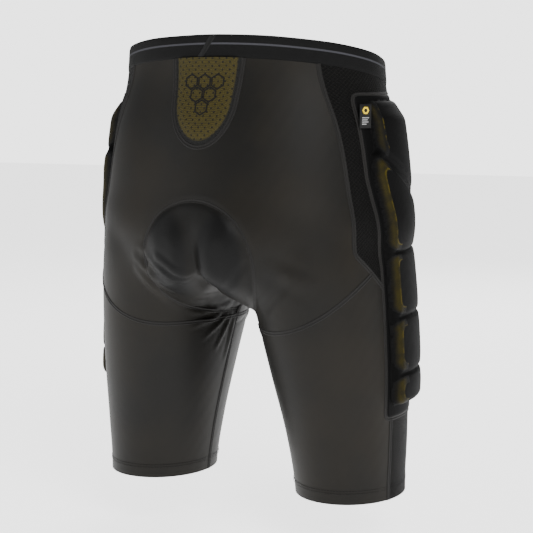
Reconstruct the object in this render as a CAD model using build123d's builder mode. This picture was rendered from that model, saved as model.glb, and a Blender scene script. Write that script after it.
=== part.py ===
"""Padded impact shorts: a stretch body with foam pads at the hips, thighs, tailbone and seat.

The frame's origin is the centre of the waist opening. +Z is up, the wearer faces -Y and the
wearer's left is +X. All sizes are in millimetres.
"""

from build123d import *
from math import radians, sqrt, tan
import os

# Driving sizes of the garment
waist_width = 300.0
waist_depth = 214.0
hip_width = 346.0
hip_depth = 274.0
thigh_width = 158.0
thigh_depth = 208.0
knee_width = 130.0
knee_depth = 156.0
hem_width = 120.0
hem_depth = 140.0
rise = 278.0  # waist centre down to the crotch
inseam = 202.0  # crotch down to the hem
hip_line = 200.0  # waist centre down to the widest ring of the hips
thigh_spread = 99.0  # midline to the middle of each thigh
knee_spread = 117.0
hem_spread = 122.0
seat_shift = 8.0  # how far the hip ring sits behind the waist ring
waist_tilt = 11.0  # degrees, the back of the waist is the higher

# Cloth and foam
fabric = 1.2  # stretch panels, nets and liners
knit = 0.8  # extra thickness of the knitted waistband
band_height = 24.0
clearance = 0.3  # between layers that lie on each other
pad_thickness = 12.0
tail_thickness = 8.0
chamois_base_thickness = 2.0
chamois_thickness = 8.0
hem_height = 18.0

# Seams and outlines on the garment's side, where y runs to the back
side_seam = 72.0  # between the seat panel and the side mesh
pocket_drop = 42.0  # waist centre down to the pocket's top edge
pocket_front = -62.0
pocket_rear_hip = 50.0
pocket_rear_thigh = 34.0
pocket_corner = 8.0
hip_break = 128.0  # depth at which the pocket's rear edge starts to narrow
thigh_break = 225.0  # depth at which it has narrowed
hip_pad_rear = 34.0
pad_border = 7.0  # sewn border between the pocket's edge and its pads
pad_corner = 7.0
groove = 6.0  # sewn channel between two pads
hip_pad_rear_length = 50.0
hip_pad_front_length = 112.0
thigh_pad_lengths = (100.0, 65.0, 55.0, 32.0)  # along the rear edge, from the top
lower_seam = 25.0  # rear seam of the lower side panel

# Seat, tailbone window and seat pad
seat_seam_drop = 16.0  # how far the seat seam runs below the crotch
seat_side_rise = 70.0  # how far its outer end stands above the crotch
front_side_rise = 28.0
seat_seam_flat = 60.0  # half width of the level part of the seat seam
tail_half_width = 42.0
tail_depth = 118.0  # band's top edge down to the foot of the window
tail_border = 6.0
chamois_half_width = 66.0
chamois_top = 126.0  # top of the seat pad above the crotch
lobe_width = 44.0
lobe_length = 84.0
lobe_gap = 12.0

# Small trim
tab_width = 7.0
tab_lean = 16.0
tab_thickness = 0.7
label_length = 14.0
label_height = 25.0
label_thickness = 0.8
label_drop = 52.0

# Worked out from the sizes above
crotch = -rise
hem = -(rise + inseam)
far = 2 * (hip_width + rise)
leg_side = 105.0  # panels of the outer side lie outside this x
tilt = tan(radians(waist_tilt))
skin = -fabric  # inner face of the stretch panels
trunk_top = waist_depth * tilt


def between(first, last, share):
    """A size part of the way from one ring to the next."""
    return first + (last - first) * share


trunk_rings = [  # height, shift to the back, half width, half depth
    (trunk_top, 0, waist_width / 2, waist_depth / 2),
    (-band_height, 0, waist_width / 2 + 2, waist_depth / 2 + 3),
    (-0.4 * hip_line, seat_shift / 2, between(waist_width, hip_width, 0.56) / 2,
     between(waist_depth, hip_depth, 0.5) / 2),
    (-0.7 * hip_line, seat_shift * 0.75, between(waist_width, hip_width, 0.87) / 2,
     between(waist_depth, hip_depth, 0.83) / 2),
    (-hip_line, seat_shift, hip_width / 2, hip_depth / 2),
    (between(-hip_line, crotch, 0.58), seat_shift * 0.75, hip_width * 0.43, hip_depth * 0.46),
    (crotch, seat_shift / 2, hip_width * 0.18, hip_depth * 0.35),
]
leg_rings = [  # height, distance from the midline, shift to the back, half width, half depth
    (-0.6 * hip_line, thigh_spread, seat_shift, 0.17 * hip_width, 0.28 * hip_depth),
    (-hip_line, hip_width / 2 - 0.245 * hip_width - 3, seat_shift, 0.245 * hip_width, hip_depth * 0.405),
    (crotch - 7, thigh_spread, seat_shift / 2, thigh_width / 2, thigh_depth / 2),
    (between(crotch, hem, 0.36), between(thigh_spread, knee_spread, 0.55), seat_shift / 4,
     between(thigh_width, knee_width, 0.45) / 2, between(thigh_depth, knee_depth, 0.5) / 2),
    (between(crotch, hem, 0.7), knee_spread, 0, knee_width / 2, knee_depth / 2),
    (hem, hem_spread, 0, hem_width / 2, hem_depth / 2),
]


forms = {}


def leg_form(leg, grow):
    """One leg's solid form, with its wall moved out by grow; leg is 1 on the left, -1 on the right."""
    with BuildPart() as tube:
        for height, spread, back, half_width, half_depth in leg_rings:
            with BuildSketch(Plane((leg * spread, back, height))):
                Ellipse(half_width + grow, half_depth + grow)
        loft()
    return tube.part


def form(grow):
    """The garment's solid form, with every wall moved out by grow."""
    if grow in forms:
        return forms[grow]
    legs = [leg_form(leg, grow) for leg in (1, -1)]
    with BuildPart() as shape:
        for height, back, half_width, half_depth in trunk_rings:
            drop = grow if height == crotch else 0
            with BuildSketch(Plane((0, back, height - drop))):
                Ellipse(half_width + grow, half_depth + grow)
        loft()
        for leg in legs:
            add(leg)
    forms[grow] = shape.part
    return shape.part


def layer(inner, outer, prism=None):
    """The cloth or foam between two offsets of the form, inside a prism if one is given."""
    with BuildPart() as piece:
        add(form(outer))
        if prism:
            add(prism, mode=Mode.INTERSECT)
        add(form(inner), mode=Mode.SUBTRACT)
    return piece.part


def waist_cut(drop):
    """The plane of the waist's edge, moved down by drop."""
    return Plane((0, 0, -drop), x_dir=(1, 0, 0), z_dir=(0, -tilt, 1))


def save(piece, name):
    """Labels a piece and writes its STEP file."""
    piece.label = name
    export_step(piece, f"parts/{name}.step")


def save_pair(piece, name):
    """Writes the wearer's left piece and its mirror image on the right."""
    save(piece, f"left_{name}")
    with BuildPart() as other:
        add(piece)
        mirror(about=Plane.YZ, mode=Mode.REPLACE)
    save(other.part, f"right_{name}")


def rear_edge(height):
    """The pocket's rear edge at a height."""
    share = (-height - hip_break) / (thigh_break - hip_break)
    return between(pocket_rear_hip, pocket_rear_thigh, min(max(share, 0), 1))


# Heights of the sewn channels, at the pocket's rear and front edges
pads_top = -(pocket_drop + pad_border)
cuts = [(pads_top, pads_top)]
cuts.append((pads_top - hip_pad_rear_length, pads_top - hip_pad_front_length))
level = cuts[-1][0]
for length in thigh_pad_lengths:
    level -= length + groove
    cuts.append((level, level))
pads_bottom = level
pocket_bottom = pads_bottom - pad_border


def pocket_outline(edge=0.0):
    """Outline of the pad pocket, drawn in from its seam by edge."""
    points = [
        (rear_edge(-pocket_drop) - edge, -pocket_drop - edge),
        (rear_edge(-hip_break) - edge, -hip_break),
        (rear_edge(-thigh_break) - edge, -thigh_break),
        (rear_edge(pocket_bottom) - edge, pocket_bottom + edge),
        (pocket_front + edge, pocket_bottom + edge),
        (pocket_front + edge, -pocket_drop - edge),
    ]
    with BuildSketch(Plane.YZ) as outline:
        Polygon(*points, align=None)
        fillet(outline.vertices().group_by(Axis.Z)[-1], pocket_corner)
    return outline.sketch_local


def pad_outline(index, grow=0.0):
    """Outline of one pad between two channels, moved out by grow."""
    (top_rear, top_front), (low_rear, low_front) = cuts[index], cuts[index + 1]
    drop = groove if index else 0
    rear_top = hip_pad_rear if index == 0 else rear_edge(top_rear) - pad_border
    rear_low = hip_pad_rear + 4 if index == 0 else rear_edge(low_rear) - pad_border
    with BuildSketch(Plane.YZ) as outline:
        Polygon(
            (rear_top, top_rear - drop),
            (rear_low, low_rear),
            (pocket_front + pad_border, low_front),
            (pocket_front + pad_border, top_front - drop),
            align=None,
        )
        fillet(outline.vertices(), pad_corner)
        if grow:
            offset(amount=grow)
    return outline.sketch_local


def side_prism(outline):
    """A prism through the outer side of the left leg."""
    with BuildPart() as prism:
        with BuildSketch(Plane.YZ.offset(leg_side)):
            add(outline)
        extrude(amount=hip_width)
    return prism.part


def seam_prism(side_rise):
    """Everything above the curved seam that joins the trunk to the legs."""
    low = crotch - seat_seam_drop
    side = crotch + side_rise
    with BuildPart() as prism:
        with BuildSketch(Plane.XZ):
            with BuildLine():
                Polyline((0, far), (0, low), (seat_seam_flat, low))
                ThreePointArc(
                    (seat_seam_flat, low),
                    (between(seat_seam_flat, hip_width / 2, 0.62), between(low, side, 0.38)),
                    (hip_width / 2, side),
                )
                Polyline((hip_width / 2, side), (far, side), (far, far), (0, far))
            make_face()
            mirror(about=Plane.YZ)
        extrude(amount=far, both=True)
    return prism.part


# Side outlines that the layers are cut to
with BuildSketch(Plane.YZ) as mesh_outline:
    corner = crotch + seat_side_rise
    Polygon(
        (side_seam, far),
        (side_seam, corner),
        (rear_edge(corner), corner - (side_seam - rear_edge(corner))),
        (pocket_front, corner - (side_seam - rear_edge(corner))),
        (pocket_front, far),
        align=None,
    )
with BuildSketch(Plane.YZ) as lower_outline:
    Polygon(
        (lower_seam, pocket_bottom),
        (lower_seam, hem - fabric),
        (pocket_front, hem - fabric),
        (pocket_front, pocket_bottom),
        align=None,
    )
pocket_prism = side_prism(pocket_outline())
mesh_prism = side_prism(mesh_outline.sketch_local)
lower_prism = side_prism(lower_outline.sketch_local)
seat_prism = seam_prism(seat_side_rise)
front_prism = seam_prism(front_side_rise)


def tail_prism(edge):
    """A prism through the tailbone window, drawn in from its seam by edge."""
    foot = trunk_top / 2 - tail_depth + edge
    half = tail_half_width - edge
    with BuildPart() as prism:
        with BuildSketch(Plane.XZ):
            with BuildLine():
                Polyline((-0.88 * half, foot / 2), (-half, far), (half, far), (0.88 * half, foot / 2))
                ThreePointArc((0.88 * half, foot / 2), (0, foot), (-0.88 * half, foot / 2))
            make_face()
        extrude(amount=-hip_depth)
    return prism.part


os.makedirs("parts", exist_ok=True)
shell = layer(skin, 0)

# Knitted waistband, a ring between two tilted planes
with BuildPart() as waistband:
    add(layer(skin, knit))
    split(bisect_by=waist_cut(0), keep=Keep.BOTTOM)
    split(bisect_by=waist_cut(band_height), keep=Keep.TOP)
save(waistband.part, "waistband")

# Trunk of the stretch shell, below the waistband
with BuildPart() as trunk:
    add(shell)
    split(bisect_by=waist_cut(band_height), keep=Keep.BOTTOM)

# Seat panel, with the tailbone window cut out of it
with BuildPart() as seat_panel:
    add(trunk.part)
    split(bisect_by=Plane.XZ, keep=Keep.BOTTOM)
    add(seat_prism, mode=Mode.INTERSECT)
    for prism in (mesh_prism, pocket_prism):
        add(prism, mode=Mode.SUBTRACT)
        add(prism.mirror(Plane.YZ), mode=Mode.SUBTRACT)
    add(tail_prism(0), mode=Mode.SUBTRACT)
save(seat_panel.part, "seat_panel")

# Front panel
with BuildPart() as front_panel:
    add(trunk.part)
    split(bisect_by=Plane.XZ, keep=Keep.TOP)
    add(front_prism, mode=Mode.INTERSECT)
    for prism in (mesh_prism, pocket_prism):
        add(prism, mode=Mode.SUBTRACT)
        add(prism.mirror(Plane.YZ), mode=Mode.SUBTRACT)
save(front_panel.part, "front_panel")

# Tailbone window: net outside, foam behind it, liner inside
tail_layers = (
    ("tail_window_net", skin, 0, 0),
    ("tail_pad", skin - clearance - tail_thickness, skin - clearance, tail_border),
    ("tail_pad_liner", skin - 2 * clearance - tail_thickness - fabric,
     skin - 2 * clearance - tail_thickness, 0),
)
for name, inner, outer, edge in tail_layers:
    with BuildPart() as tail_piece:
        add(layer(inner, outer, tail_prism(edge)))
        split(bisect_by=waist_cut(band_height), keep=Keep.BOTTOM)
    save(tail_piece.part, name)

# Side mesh: above and behind the pad pocket
with BuildPart() as side_mesh:
    add(trunk.part)
    add(mesh_prism, mode=Mode.INTERSECT)
    add(pocket_prism, mode=Mode.SUBTRACT)
save_pair(side_mesh.part, "side_mesh")

# Liner that the pads lie on
with BuildPart() as pad_liner:
    add(layer(skin, 0, pocket_prism))
save_pair(pad_liner.part, "pad_liner")

# Foam pads, from the hip down
pad_names = ["hip_pad"] + [f"thigh_pad_{n + 1}" for n in range(len(thigh_pad_lengths))]
for index, name in enumerate(pad_names):
    with BuildPart() as pad:
        add(layer(clearance, clearance + pad_thickness, side_prism(pad_outline(index))))
    save_pair(pad.part, name)

# Pocket cover: a sewn border, with a raised cap over each pad
pocket_top_face = 2 * clearance + pad_thickness
rooms = []
for index in range(len(pad_names)):
    with BuildPart() as room:
        add(form(pocket_top_face))
        add(side_prism(pad_outline(index, clearance)), mode=Mode.INTERSECT)
    rooms.append(room.part)
with BuildPart() as pad_pocket:
    add(layer(clearance, clearance + fabric, pocket_prism))
    for index in range(len(pad_names)):
        cap_prism = side_prism(pad_outline(index, clearance + fabric))
        add(layer(clearance, pocket_top_face + fabric, cap_prism))
    for room in rooms:
        add(room, mode=Mode.SUBTRACT)
save_pair(pad_pocket.part, "pad_pocket")

# Leg panels, below the seat seam and the front seam
with BuildPart() as left_shell:
    add(shell)
    split(bisect_by=Plane.YZ, keep=Keep.TOP)
for name, prism, side in (
    ("back_leg_panel", seat_prism, Keep.BOTTOM),
    ("front_leg_panel", front_prism, Keep.TOP),
):
    with BuildPart() as leg_panel:
        add(left_shell.part)
        split(bisect_by=Plane.XZ, keep=side)
        add(prism, mode=Mode.SUBTRACT)
        for cut in (mesh_prism, pocket_prism, lower_prism):
            add(cut, mode=Mode.SUBTRACT)
    save_pair(leg_panel.part, name)

# Lower side panel, between the pad pocket and the hem
with BuildPart() as lower_side_panel:
    add(left_shell.part)
    add(lower_prism, mode=Mode.INTERSECT)
save_pair(lower_side_panel.part, "lower_side_panel")

# Hem facing, the turned-up edge inside each leg
with BuildPart() as leg_end:
    with BuildSketch(Plane.XY.offset(hem)):
        with Locations((hip_width / 2, 0)):
            Rectangle(hip_width, hip_depth)
    extrude(amount=hem_height)
with BuildPart() as hem_facing:
    add(layer(skin - clearance - fabric, skin - clearance, leg_end.part))
save_pair(hem_facing.part, "hem_facing")

# Seat pad: a soft base and two foam lobes on it
base_outer = skin - clearance
base_inner = base_outer - chamois_base_thickness
with BuildPart() as chamois_reach:
    with BuildSketch(Plane.XZ):
        with Locations((0, crotch + chamois_top / 2 - 6)):
            Ellipse(chamois_half_width, chamois_top / 2 + 6)
    extrude(amount=-hip_depth)
    with BuildSketch(Plane.XZ):
        with Locations((0, crotch)):
            Ellipse(chamois_half_width / 2, chamois_top / 3)
    extrude(amount=hip_depth)
with BuildPart() as chamois_base:
    add(layer(base_inner, base_outer, chamois_reach.part))
save(chamois_base.part, "chamois_base")

lobe_height = crotch + chamois_top - lobe_length / 2 - lobe_gap
with BuildPart() as lobe_prisms:
    with BuildSketch(Plane.XZ):
        with GridLocations(lobe_width + lobe_gap, 0, 2, 1):
            with Locations((0, lobe_height)):
                Ellipse(lobe_width / 2, lobe_length / 2)
    extrude(amount=-hip_depth)
with BuildPart() as chamois_lobes:
    lobe_outer = base_inner - clearance
    add(layer(lobe_outer - chamois_thickness, lobe_outer, lobe_prisms.part))
save(chamois_lobes.part, "chamois_lobes")

# Slanted tab on the back of the waistband
with BuildPart() as tab_prism:
    with BuildSketch(Plane.XZ):
        top = trunk_top / 2
        Polygon(
            (-tab_lean / 2 - tab_width / 2, top),
            (-tab_lean / 2 + tab_width / 2, top),
            (tab_lean / 2 + tab_width / 2, top - band_height),
            (tab_lean / 2 - tab_width / 2, top - band_height),
            align=None,
        )
    extrude(amount=-hip_depth)
with BuildPart() as waist_tab:
    add(layer(knit, knit + tab_thickness, tab_prism.part))
save(waist_tab.part, "waist_tab")

# Woven label, sewn by its rear edge into the right pocket's seam
label_ring = trunk_rings[2]
label_y = pocket_rear_hip + 2
across = (label_y - label_ring[1]) / label_ring[3]
label_x = label_ring[2] * sqrt(1 - across ** 2)
slope_x = label_x / label_ring[2] ** 2
slope_y = (label_y - label_ring[1]) / label_ring[3] ** 2
normal = Vector(-slope_x, slope_y, 0).normalized()
forward = Vector(-normal.Y, normal.X, 0)
lift = 2 * clearance + fabric
seam_point = Vector(-label_x, label_y, -label_drop - label_height / 2) + normal * lift
with BuildPart() as label_tab:
    with BuildSketch(Plane(seam_point, x_dir=forward, z_dir=normal)):
        with Locations((label_length / 2, 0)):
            Rectangle(label_length, label_height)
    extrude(amount=label_thickness)
save(label_tab.part, "label_tab")
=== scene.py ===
from math import cos, pi, radians, sin, tan

import bmesh
import bpy
import numpy as np
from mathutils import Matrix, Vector


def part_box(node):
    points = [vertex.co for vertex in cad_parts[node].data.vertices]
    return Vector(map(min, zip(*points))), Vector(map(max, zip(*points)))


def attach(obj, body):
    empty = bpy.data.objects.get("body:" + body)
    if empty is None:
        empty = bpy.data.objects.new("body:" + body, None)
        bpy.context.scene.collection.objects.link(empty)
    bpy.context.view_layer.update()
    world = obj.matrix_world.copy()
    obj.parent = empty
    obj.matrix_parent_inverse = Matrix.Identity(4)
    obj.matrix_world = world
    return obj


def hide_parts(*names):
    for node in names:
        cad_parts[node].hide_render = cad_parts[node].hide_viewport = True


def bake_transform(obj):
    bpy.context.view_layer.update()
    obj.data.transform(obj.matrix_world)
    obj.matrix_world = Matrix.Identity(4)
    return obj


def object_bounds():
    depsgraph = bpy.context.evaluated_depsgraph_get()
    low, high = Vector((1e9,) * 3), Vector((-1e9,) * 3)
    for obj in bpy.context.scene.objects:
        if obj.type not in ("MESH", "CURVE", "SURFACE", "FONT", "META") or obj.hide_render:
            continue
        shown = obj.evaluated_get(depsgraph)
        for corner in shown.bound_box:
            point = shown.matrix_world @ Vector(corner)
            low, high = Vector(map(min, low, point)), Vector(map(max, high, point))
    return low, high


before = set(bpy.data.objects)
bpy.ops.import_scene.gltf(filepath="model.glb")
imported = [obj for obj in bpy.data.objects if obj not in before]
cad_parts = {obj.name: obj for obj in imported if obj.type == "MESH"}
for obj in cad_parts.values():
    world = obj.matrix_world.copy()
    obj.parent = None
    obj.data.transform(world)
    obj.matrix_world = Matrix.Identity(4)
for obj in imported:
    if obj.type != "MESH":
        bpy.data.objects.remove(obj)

bl_info = {
    "name": "Padded Impact Shorts",
    "version": (1, 0, 0),
    "blender": (4, 5, 0),
    "location": "3D View > Sidebar > Shorts",
    "description": "Builds stretch shorts with pocketed foam pads, a tailbone window and a seat pad",
    "category": "Object",
}

CAD_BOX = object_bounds()
MM = 0.001
SIDES = (("left", 1), ("right", -1))
BAND = [np.array(corner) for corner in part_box("waistband")]
FOOT = [np.array(corner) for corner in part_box("left_hem_facing")]
TILT = tan(radians(11))


def linear(code):
    """A colour from its sRGB hex code."""
    parts = [int(code[i:i + 2], 16) / 255 for i in (1, 3, 5)]
    return [c / 12.92 if c <= 0.04045 else ((c + 0.055) / 1.055) ** 2.4 for c in parts]


def length(name, default, description):
    """A length property in metres."""
    return bpy.props.FloatProperty(
        name=name, default=default, description=description, unit="LENGTH", precision=4
    )


def colour(name, code, description):
    """A colour property from an sRGB hex code."""
    return bpy.props.FloatVectorProperty(
        name=name, default=linear(code), description=description, subtype="COLOR", min=0, max=1
    )


class BodySizes(bpy.types.PropertyGroup):
    """Sizes of the stretch body."""

    waist_width: length("Waist width", 0.300, "Outside width of the waist opening")
    waist_depth: length("Waist depth", 0.214, "Outside depth of the waist opening")
    hip_width: length("Hip width", 0.346, "Width of the widest ring")
    hip_depth: length("Hip depth", 0.274, "Depth of the widest ring")
    hip_line: length("Hip line", 0.200, "Waist centre down to the widest ring")
    rise: length("Rise", 0.278, "Waist centre down to the crotch")
    thigh_width: length("Thigh width", 0.158, "Width of each leg under the crotch")
    thigh_depth: length("Thigh depth", 0.208, "Depth of each leg under the crotch")
    knee_width: length("Lower thigh width", 0.130, "Width of each leg above the hem")
    knee_depth: length("Lower thigh depth", 0.156, "Depth of each leg above the hem")
    hem_width: length("Hem width", 0.120, "Width of each leg opening")
    hem_depth: length("Hem depth", 0.140, "Depth of each leg opening")
    thigh_spread: length("Thigh spread", 0.099, "Midline to the middle of each thigh")
    knee_spread: length("Lower thigh spread", 0.117, "Midline to the middle above the hem")
    hem_spread: length("Hem spread", float(FOOT[0][0] + FOOT[1][0]) / 2, "Midline to each hem's middle")
    seat_shift: length("Seat shift", 0.008, "How far the hip ring sits behind the waist")
    hem_height: length("Hem height", float(FOOT[0][2]), "Height of the leg openings")
    band_height: length("Band height", 0.024, "Height of the waistband")
    crotch_lift: length("Crotch lift", 0.024, "How far the underside rises towards the back")
    cloth: length("Cloth", 0.0012, "Thickness of the stretch panels")
    grain: length("Grain", 0.003, "Mesh size of the body")


class SeamSizes(bpy.types.PropertyGroup):
    """Where the panels are seamed, and the pads' sizes."""

    side_seam: length("Side seam", 0.072, "Seat panel's side seam behind the midline")
    seam_drop: length("Seam drop", 0.016, "How far the seat seam runs below the crotch")
    seat_side: length("Seat seam side", 0.070, "Height of its outer end above the crotch")
    front_side: length("Front seam side", 0.028, "Height of the front seam's outer end")
    seam_flat: length("Level part", 0.060, "Half width of the level part of the seams")
    leg_side: length("Outer side", 0.105, "Outer side panels lie outside this x")
    pocket_top: length("Pocket top", -0.042, "Height of the pocket's top edge")
    pocket_bottom: length("Pocket bottom", -0.389, "Height of the pocket's bottom edge")
    pocket_front: length("Pocket front", -0.062, "Front edge of the pocket")
    rear_hip: length("Pocket rear, hip", 0.050, "Rear edge of the pocket at the hip")
    rear_thigh: length("Pocket rear, thigh", 0.034, "Rear edge of the pocket at the thigh")
    hip_break: length("Hip break", -0.128, "Where the rear edge starts to narrow")
    thigh_break: length("Thigh break", -0.225, "Where it has narrowed")
    hip_pad_rear: length("Hip pad rear", 0.036, "Rear edge of the hip pad")
    border: length("Pad border", 0.007, "Sewn border round the pads")
    groove: length("Channel", 0.006, "Sewn channel between two pads")
    pad: length("Pad thickness", 0.012, "Thickness of the side pads")
    slope: length("Pad slope", 0.008, "How far the pads' rounded edges reach in")
    channel: length("Channel depth", 0.0028, "How deep the cloth is pulled into a channel")
    strip: length("Net strip", 0.0075, "Width of the net strips over the pads' rear edges")
    lower_seam: length("Lower side seam", 0.025, "Rear seam of the lower side panel")
    tail_half: length("Window half width", 0.042, "Half width of the tailbone window")
    tail_foot: length("Window foot", -0.0972, "Lowest point of the tailbone window")
    chamois_half: length("Seat pad half width", 0.066, "Half width of the seat pad")
    chamois_top: length("Seat pad top", 0.126, "Top of the seat pad above the crotch")


class Finishes(bpy.types.PropertyGroup):
    """Colours of the finishes."""

    jersey: colour("Jersey", "#0f0e0c", "Warm black stretch jersey")
    jersey_worn: colour("Jersey, stretched", "#17140f", "Jersey where it is pulled thin")
    pocket: colour("Pocket jersey", "#070707", "Cooler black jersey over the pads")
    band: colour("Waistband", "#070707", "Knitted elastic")
    stripe: colour("Stripe", "#36363a", "Grey yarn line in the waistband")
    mesh: colour("Mesh", "#0e0d0c", "Yarn of the open mesh")
    foam: colour("Foam", "#988600", "Yellow perforated foam")
    thread: colour("Thread", "#171615", "Seam thread")
    label: colour("Label", "#191919", "Woven label ground")
    label_mark: colour("Label mark", "#c9ab1d", "Yellow yarn of the label")
    label_line: colour("Label lines", "#8d8d8d", "Grey yarn of the label")
    liner: colour("Liner", "#1a1a1a", "Brushed tricot liner")


def soft_max(a, b, radius):
    """The larger of two fields, rounded where they meet."""
    share = np.clip(0.5 + 0.5 * (a - b) / radius, 0, 1)
    return b * (1 - share) + a * share + radius * share * (1 - share)


def ramp(value, low, high):
    """0 below low, 1 above high, smooth between."""
    share = np.clip((value - low) / (high - low), 0, 1)
    return share * share * (3 - 2 * share)


def between(first, last, share):
    return first + (last - first) * share


class Pattern:
    """The body's surface, cut along its seams, with a shape field for what swells under it."""

    def __init__(self, body, seams):
        self.body, self.seams = body, seams
        self.crotch = -body.rise
        self.cuts = self.pad_cuts()
        bm = self.blank()
        self.cut_seams(bm)
        self.read(bm)
        bm.free()
        self.shape()

    def trunk_rings(self):
        """Height, shift to the back, half width, half depth."""
        b = self.body
        crotch, hips = self.crotch, -b.hip_line
        return [
            (0.05, 0, b.waist_width / 2, b.waist_depth / 2),
            (-b.band_height, 0, b.waist_width / 2 + 2 * MM, b.waist_depth / 2 + 3 * MM),
            (0.4 * hips, b.seat_shift / 2, between(b.waist_width, b.hip_width, 0.56) / 2,
             between(b.waist_depth, b.hip_depth, 0.5) / 2),
            (0.7 * hips, b.seat_shift * 0.75, between(b.waist_width, b.hip_width, 0.87) / 2,
             between(b.waist_depth, b.hip_depth, 0.83) / 2),
            (hips, b.seat_shift, b.hip_width / 2, b.hip_depth / 2),
            (between(hips, crotch, 0.58), b.seat_shift * 0.75, b.hip_width * 0.43, b.hip_depth * 0.46),
            (crotch, b.seat_shift / 2, b.hip_width * 0.18, b.hip_depth * 0.35),
        ]

    def leg_rings(self):
        """Height, distance from the midline, shift to the back, half width, half depth."""
        b = self.body
        crotch, hem = self.crotch, b.hem_height
        return [
            (-0.6 * b.hip_line, b.thigh_spread, b.seat_shift, 0.17 * b.hip_width, 0.28 * b.hip_depth),
            (-b.hip_line, 0.255 * b.hip_width - 3 * MM, b.seat_shift, 0.245 * b.hip_width,
             0.405 * b.hip_depth),
            (crotch - 7 * MM, b.thigh_spread, b.seat_shift / 2, b.thigh_width / 2, b.thigh_depth / 2),
            (between(crotch, hem, 0.36), between(b.thigh_spread, b.knee_spread, 0.55), b.seat_shift / 4,
             between(b.thigh_width, b.knee_width, 0.45) / 2,
             between(b.thigh_depth, b.knee_depth, 0.5) / 2),
            (between(crotch, hem, 0.7), b.knee_spread, 0, b.knee_width / 2, b.knee_depth / 2),
            (hem, b.hem_spread, 0, b.hem_width / 2, b.hem_depth / 2),
            (hem - 0.02, b.hem_spread + 1 * MM, 0, b.hem_width / 2, b.hem_depth / 2),
        ]

    @staticmethod
    def curve(rings, heights):
        """The rings' values at other heights, on a smooth curve through them."""
        table = np.array(rings)[::-1]
        known, values = table[:, 0], table[:, 1:]
        slopes = np.gradient(values, known, axis=0)
        place = np.clip(np.searchsorted(known, heights, side="right") - 1, 0, len(known) - 2)
        span = (known[place + 1] - known[place])[:, None]
        t = np.clip((heights - known[place])[:, None] / span, 0, 1)
        start, end = values[place], values[place + 1]
        tilt_in, tilt_out = slopes[place] * span, slopes[place + 1] * span
        return (
            start * (2 * t ** 3 - 3 * t ** 2 + 1) + tilt_in * (t ** 3 - 2 * t ** 2 + t)
            + end * (3 * t ** 2 - 2 * t ** 3) + tilt_out * (t ** 3 - t ** 2)
        )

    def tube(self, bm, rings, side):
        """One closed tube through the rings."""
        heights = np.linspace(rings[0][0], rings[-1][0], 120)
        values = self.curve(rings, heights)
        angles = np.linspace(0, 2 * pi, 128, endpoint=False)
        rows = []
        for height, row in zip(heights, values):
            spread, back, half_width, half_depth = row if len(row) == 4 else (0, *row)
            rows.append([
                bm.verts.new((side * spread + half_width * cos(a), back + half_depth * sin(a), height))
                for a in angles
            ])
        for upper, lower in zip(rows, rows[1:]):
            for k in range(len(angles)):
                bm.faces.new((upper[k], upper[k - 1], lower[k - 1], lower[k]))
        bm.faces.new(rows[0])
        bm.faces.new(rows[-1][::-1])

    def blank(self):
        """The uncut body as one even, closed skin."""
        bm = bmesh.new()
        self.tube(bm, self.trunk_rings(), 0)
        for _, side in SIDES:
            self.tube(bm, self.leg_rings(), side)
        mesh = bpy.data.meshes.new("body_blank")
        bm.to_mesh(mesh)
        bm.free()
        piece = bpy.data.objects.new("body_blank", mesh)
        bpy.context.collection.objects.link(piece)
        even = piece.modifiers.new("even", "REMESH")
        even.mode, even.voxel_size = "VOXEL", self.body.grain
        bpy.ops.object.select_all(action="DESELECT")
        bpy.context.view_layer.objects.active = piece
        piece.select_set(True)
        bpy.ops.object.modifier_apply(modifier=even.name)
        mesh = piece.data
        points = np.empty(len(mesh.vertices) * 3)
        mesh.vertices.foreach_get("co", points)
        points = points.reshape(-1, 3)
        edges = np.empty(len(mesh.edges) * 2, int)
        mesh.edges.foreach_get("vertices", edges)
        points = self.relax(points, edges.reshape(-1, 2))
        mesh.vertices.foreach_set("co", points.ravel())
        bm = bmesh.new()
        bm.from_mesh(mesh)
        bpy.data.objects.remove(piece)
        return bm

    def relax(self, points, edges):
        """Evens out the steps of the skin, most where the legs join the trunk."""
        count = np.bincount(edges.ravel(), minlength=len(points))[:, None]
        join = np.exp(-((points[:, 2] - self.crotch - 0.03) / 0.05) ** 2)
        pull = (0.35 + 0.4 * join)[:, None]
        for _ in range(30):
            total = np.zeros_like(points)
            np.add.at(total, edges[:, 0], points[edges[:, 1]])
            np.add.at(total, edges[:, 1], points[edges[:, 0]])
            points = points + (total / count - points) * pull
        return self.raise_crotch(points)

    def raise_crotch(self, points):
        """Draws the underside up towards the back, between the buttocks."""
        x, y, z = points.T
        below = self.crotch - z
        share = np.exp(-(x / (36 * MM)) ** 2) * ramp(y, -20 * MM, 70 * MM)
        share *= ramp(below, -55 * MM, -5 * MM) * (1 - ramp(below, 5 * MM, 90 * MM))
        points[:, 2] += self.body.crotch_lift * share
        points[np.abs(x) < 1.1 * MM, 0] = 0
        return points

    def rear_edge(self, z):
        s = self.seams
        return s.rear_hip + (s.rear_thigh - s.rear_hip) * np.clip(
            (s.hip_break - z) / (s.hip_break - s.thigh_break), 0, 1
        )

    def pad_cuts(self):
        """Heights of the sewn channels at the rear and front edges, from the top."""
        s = self.seams
        top = s.pocket_top - s.border
        cuts = [(top, top), (top - 0.050, top - 0.112)]
        level = cuts[-1][0]
        for pad_length in (0.100, 0.065, 0.055, 0.032):
            level -= pad_length + s.groove
            cuts.append((level, level))
        return cuts

    def in_pocket(self, p):
        s = self.seams
        edge = soft_max(p[:, 1] - self.rear_edge(p[:, 2]), s.pocket_front - p[:, 1], 6 * MM)
        edge = soft_max(edge, p[:, 2] - s.pocket_top, 8 * MM)
        edge = soft_max(edge, s.pocket_bottom - p[:, 2], 6 * MM)
        return np.where(np.abs(p[:, 0]) > s.leg_side, edge, 1)

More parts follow.
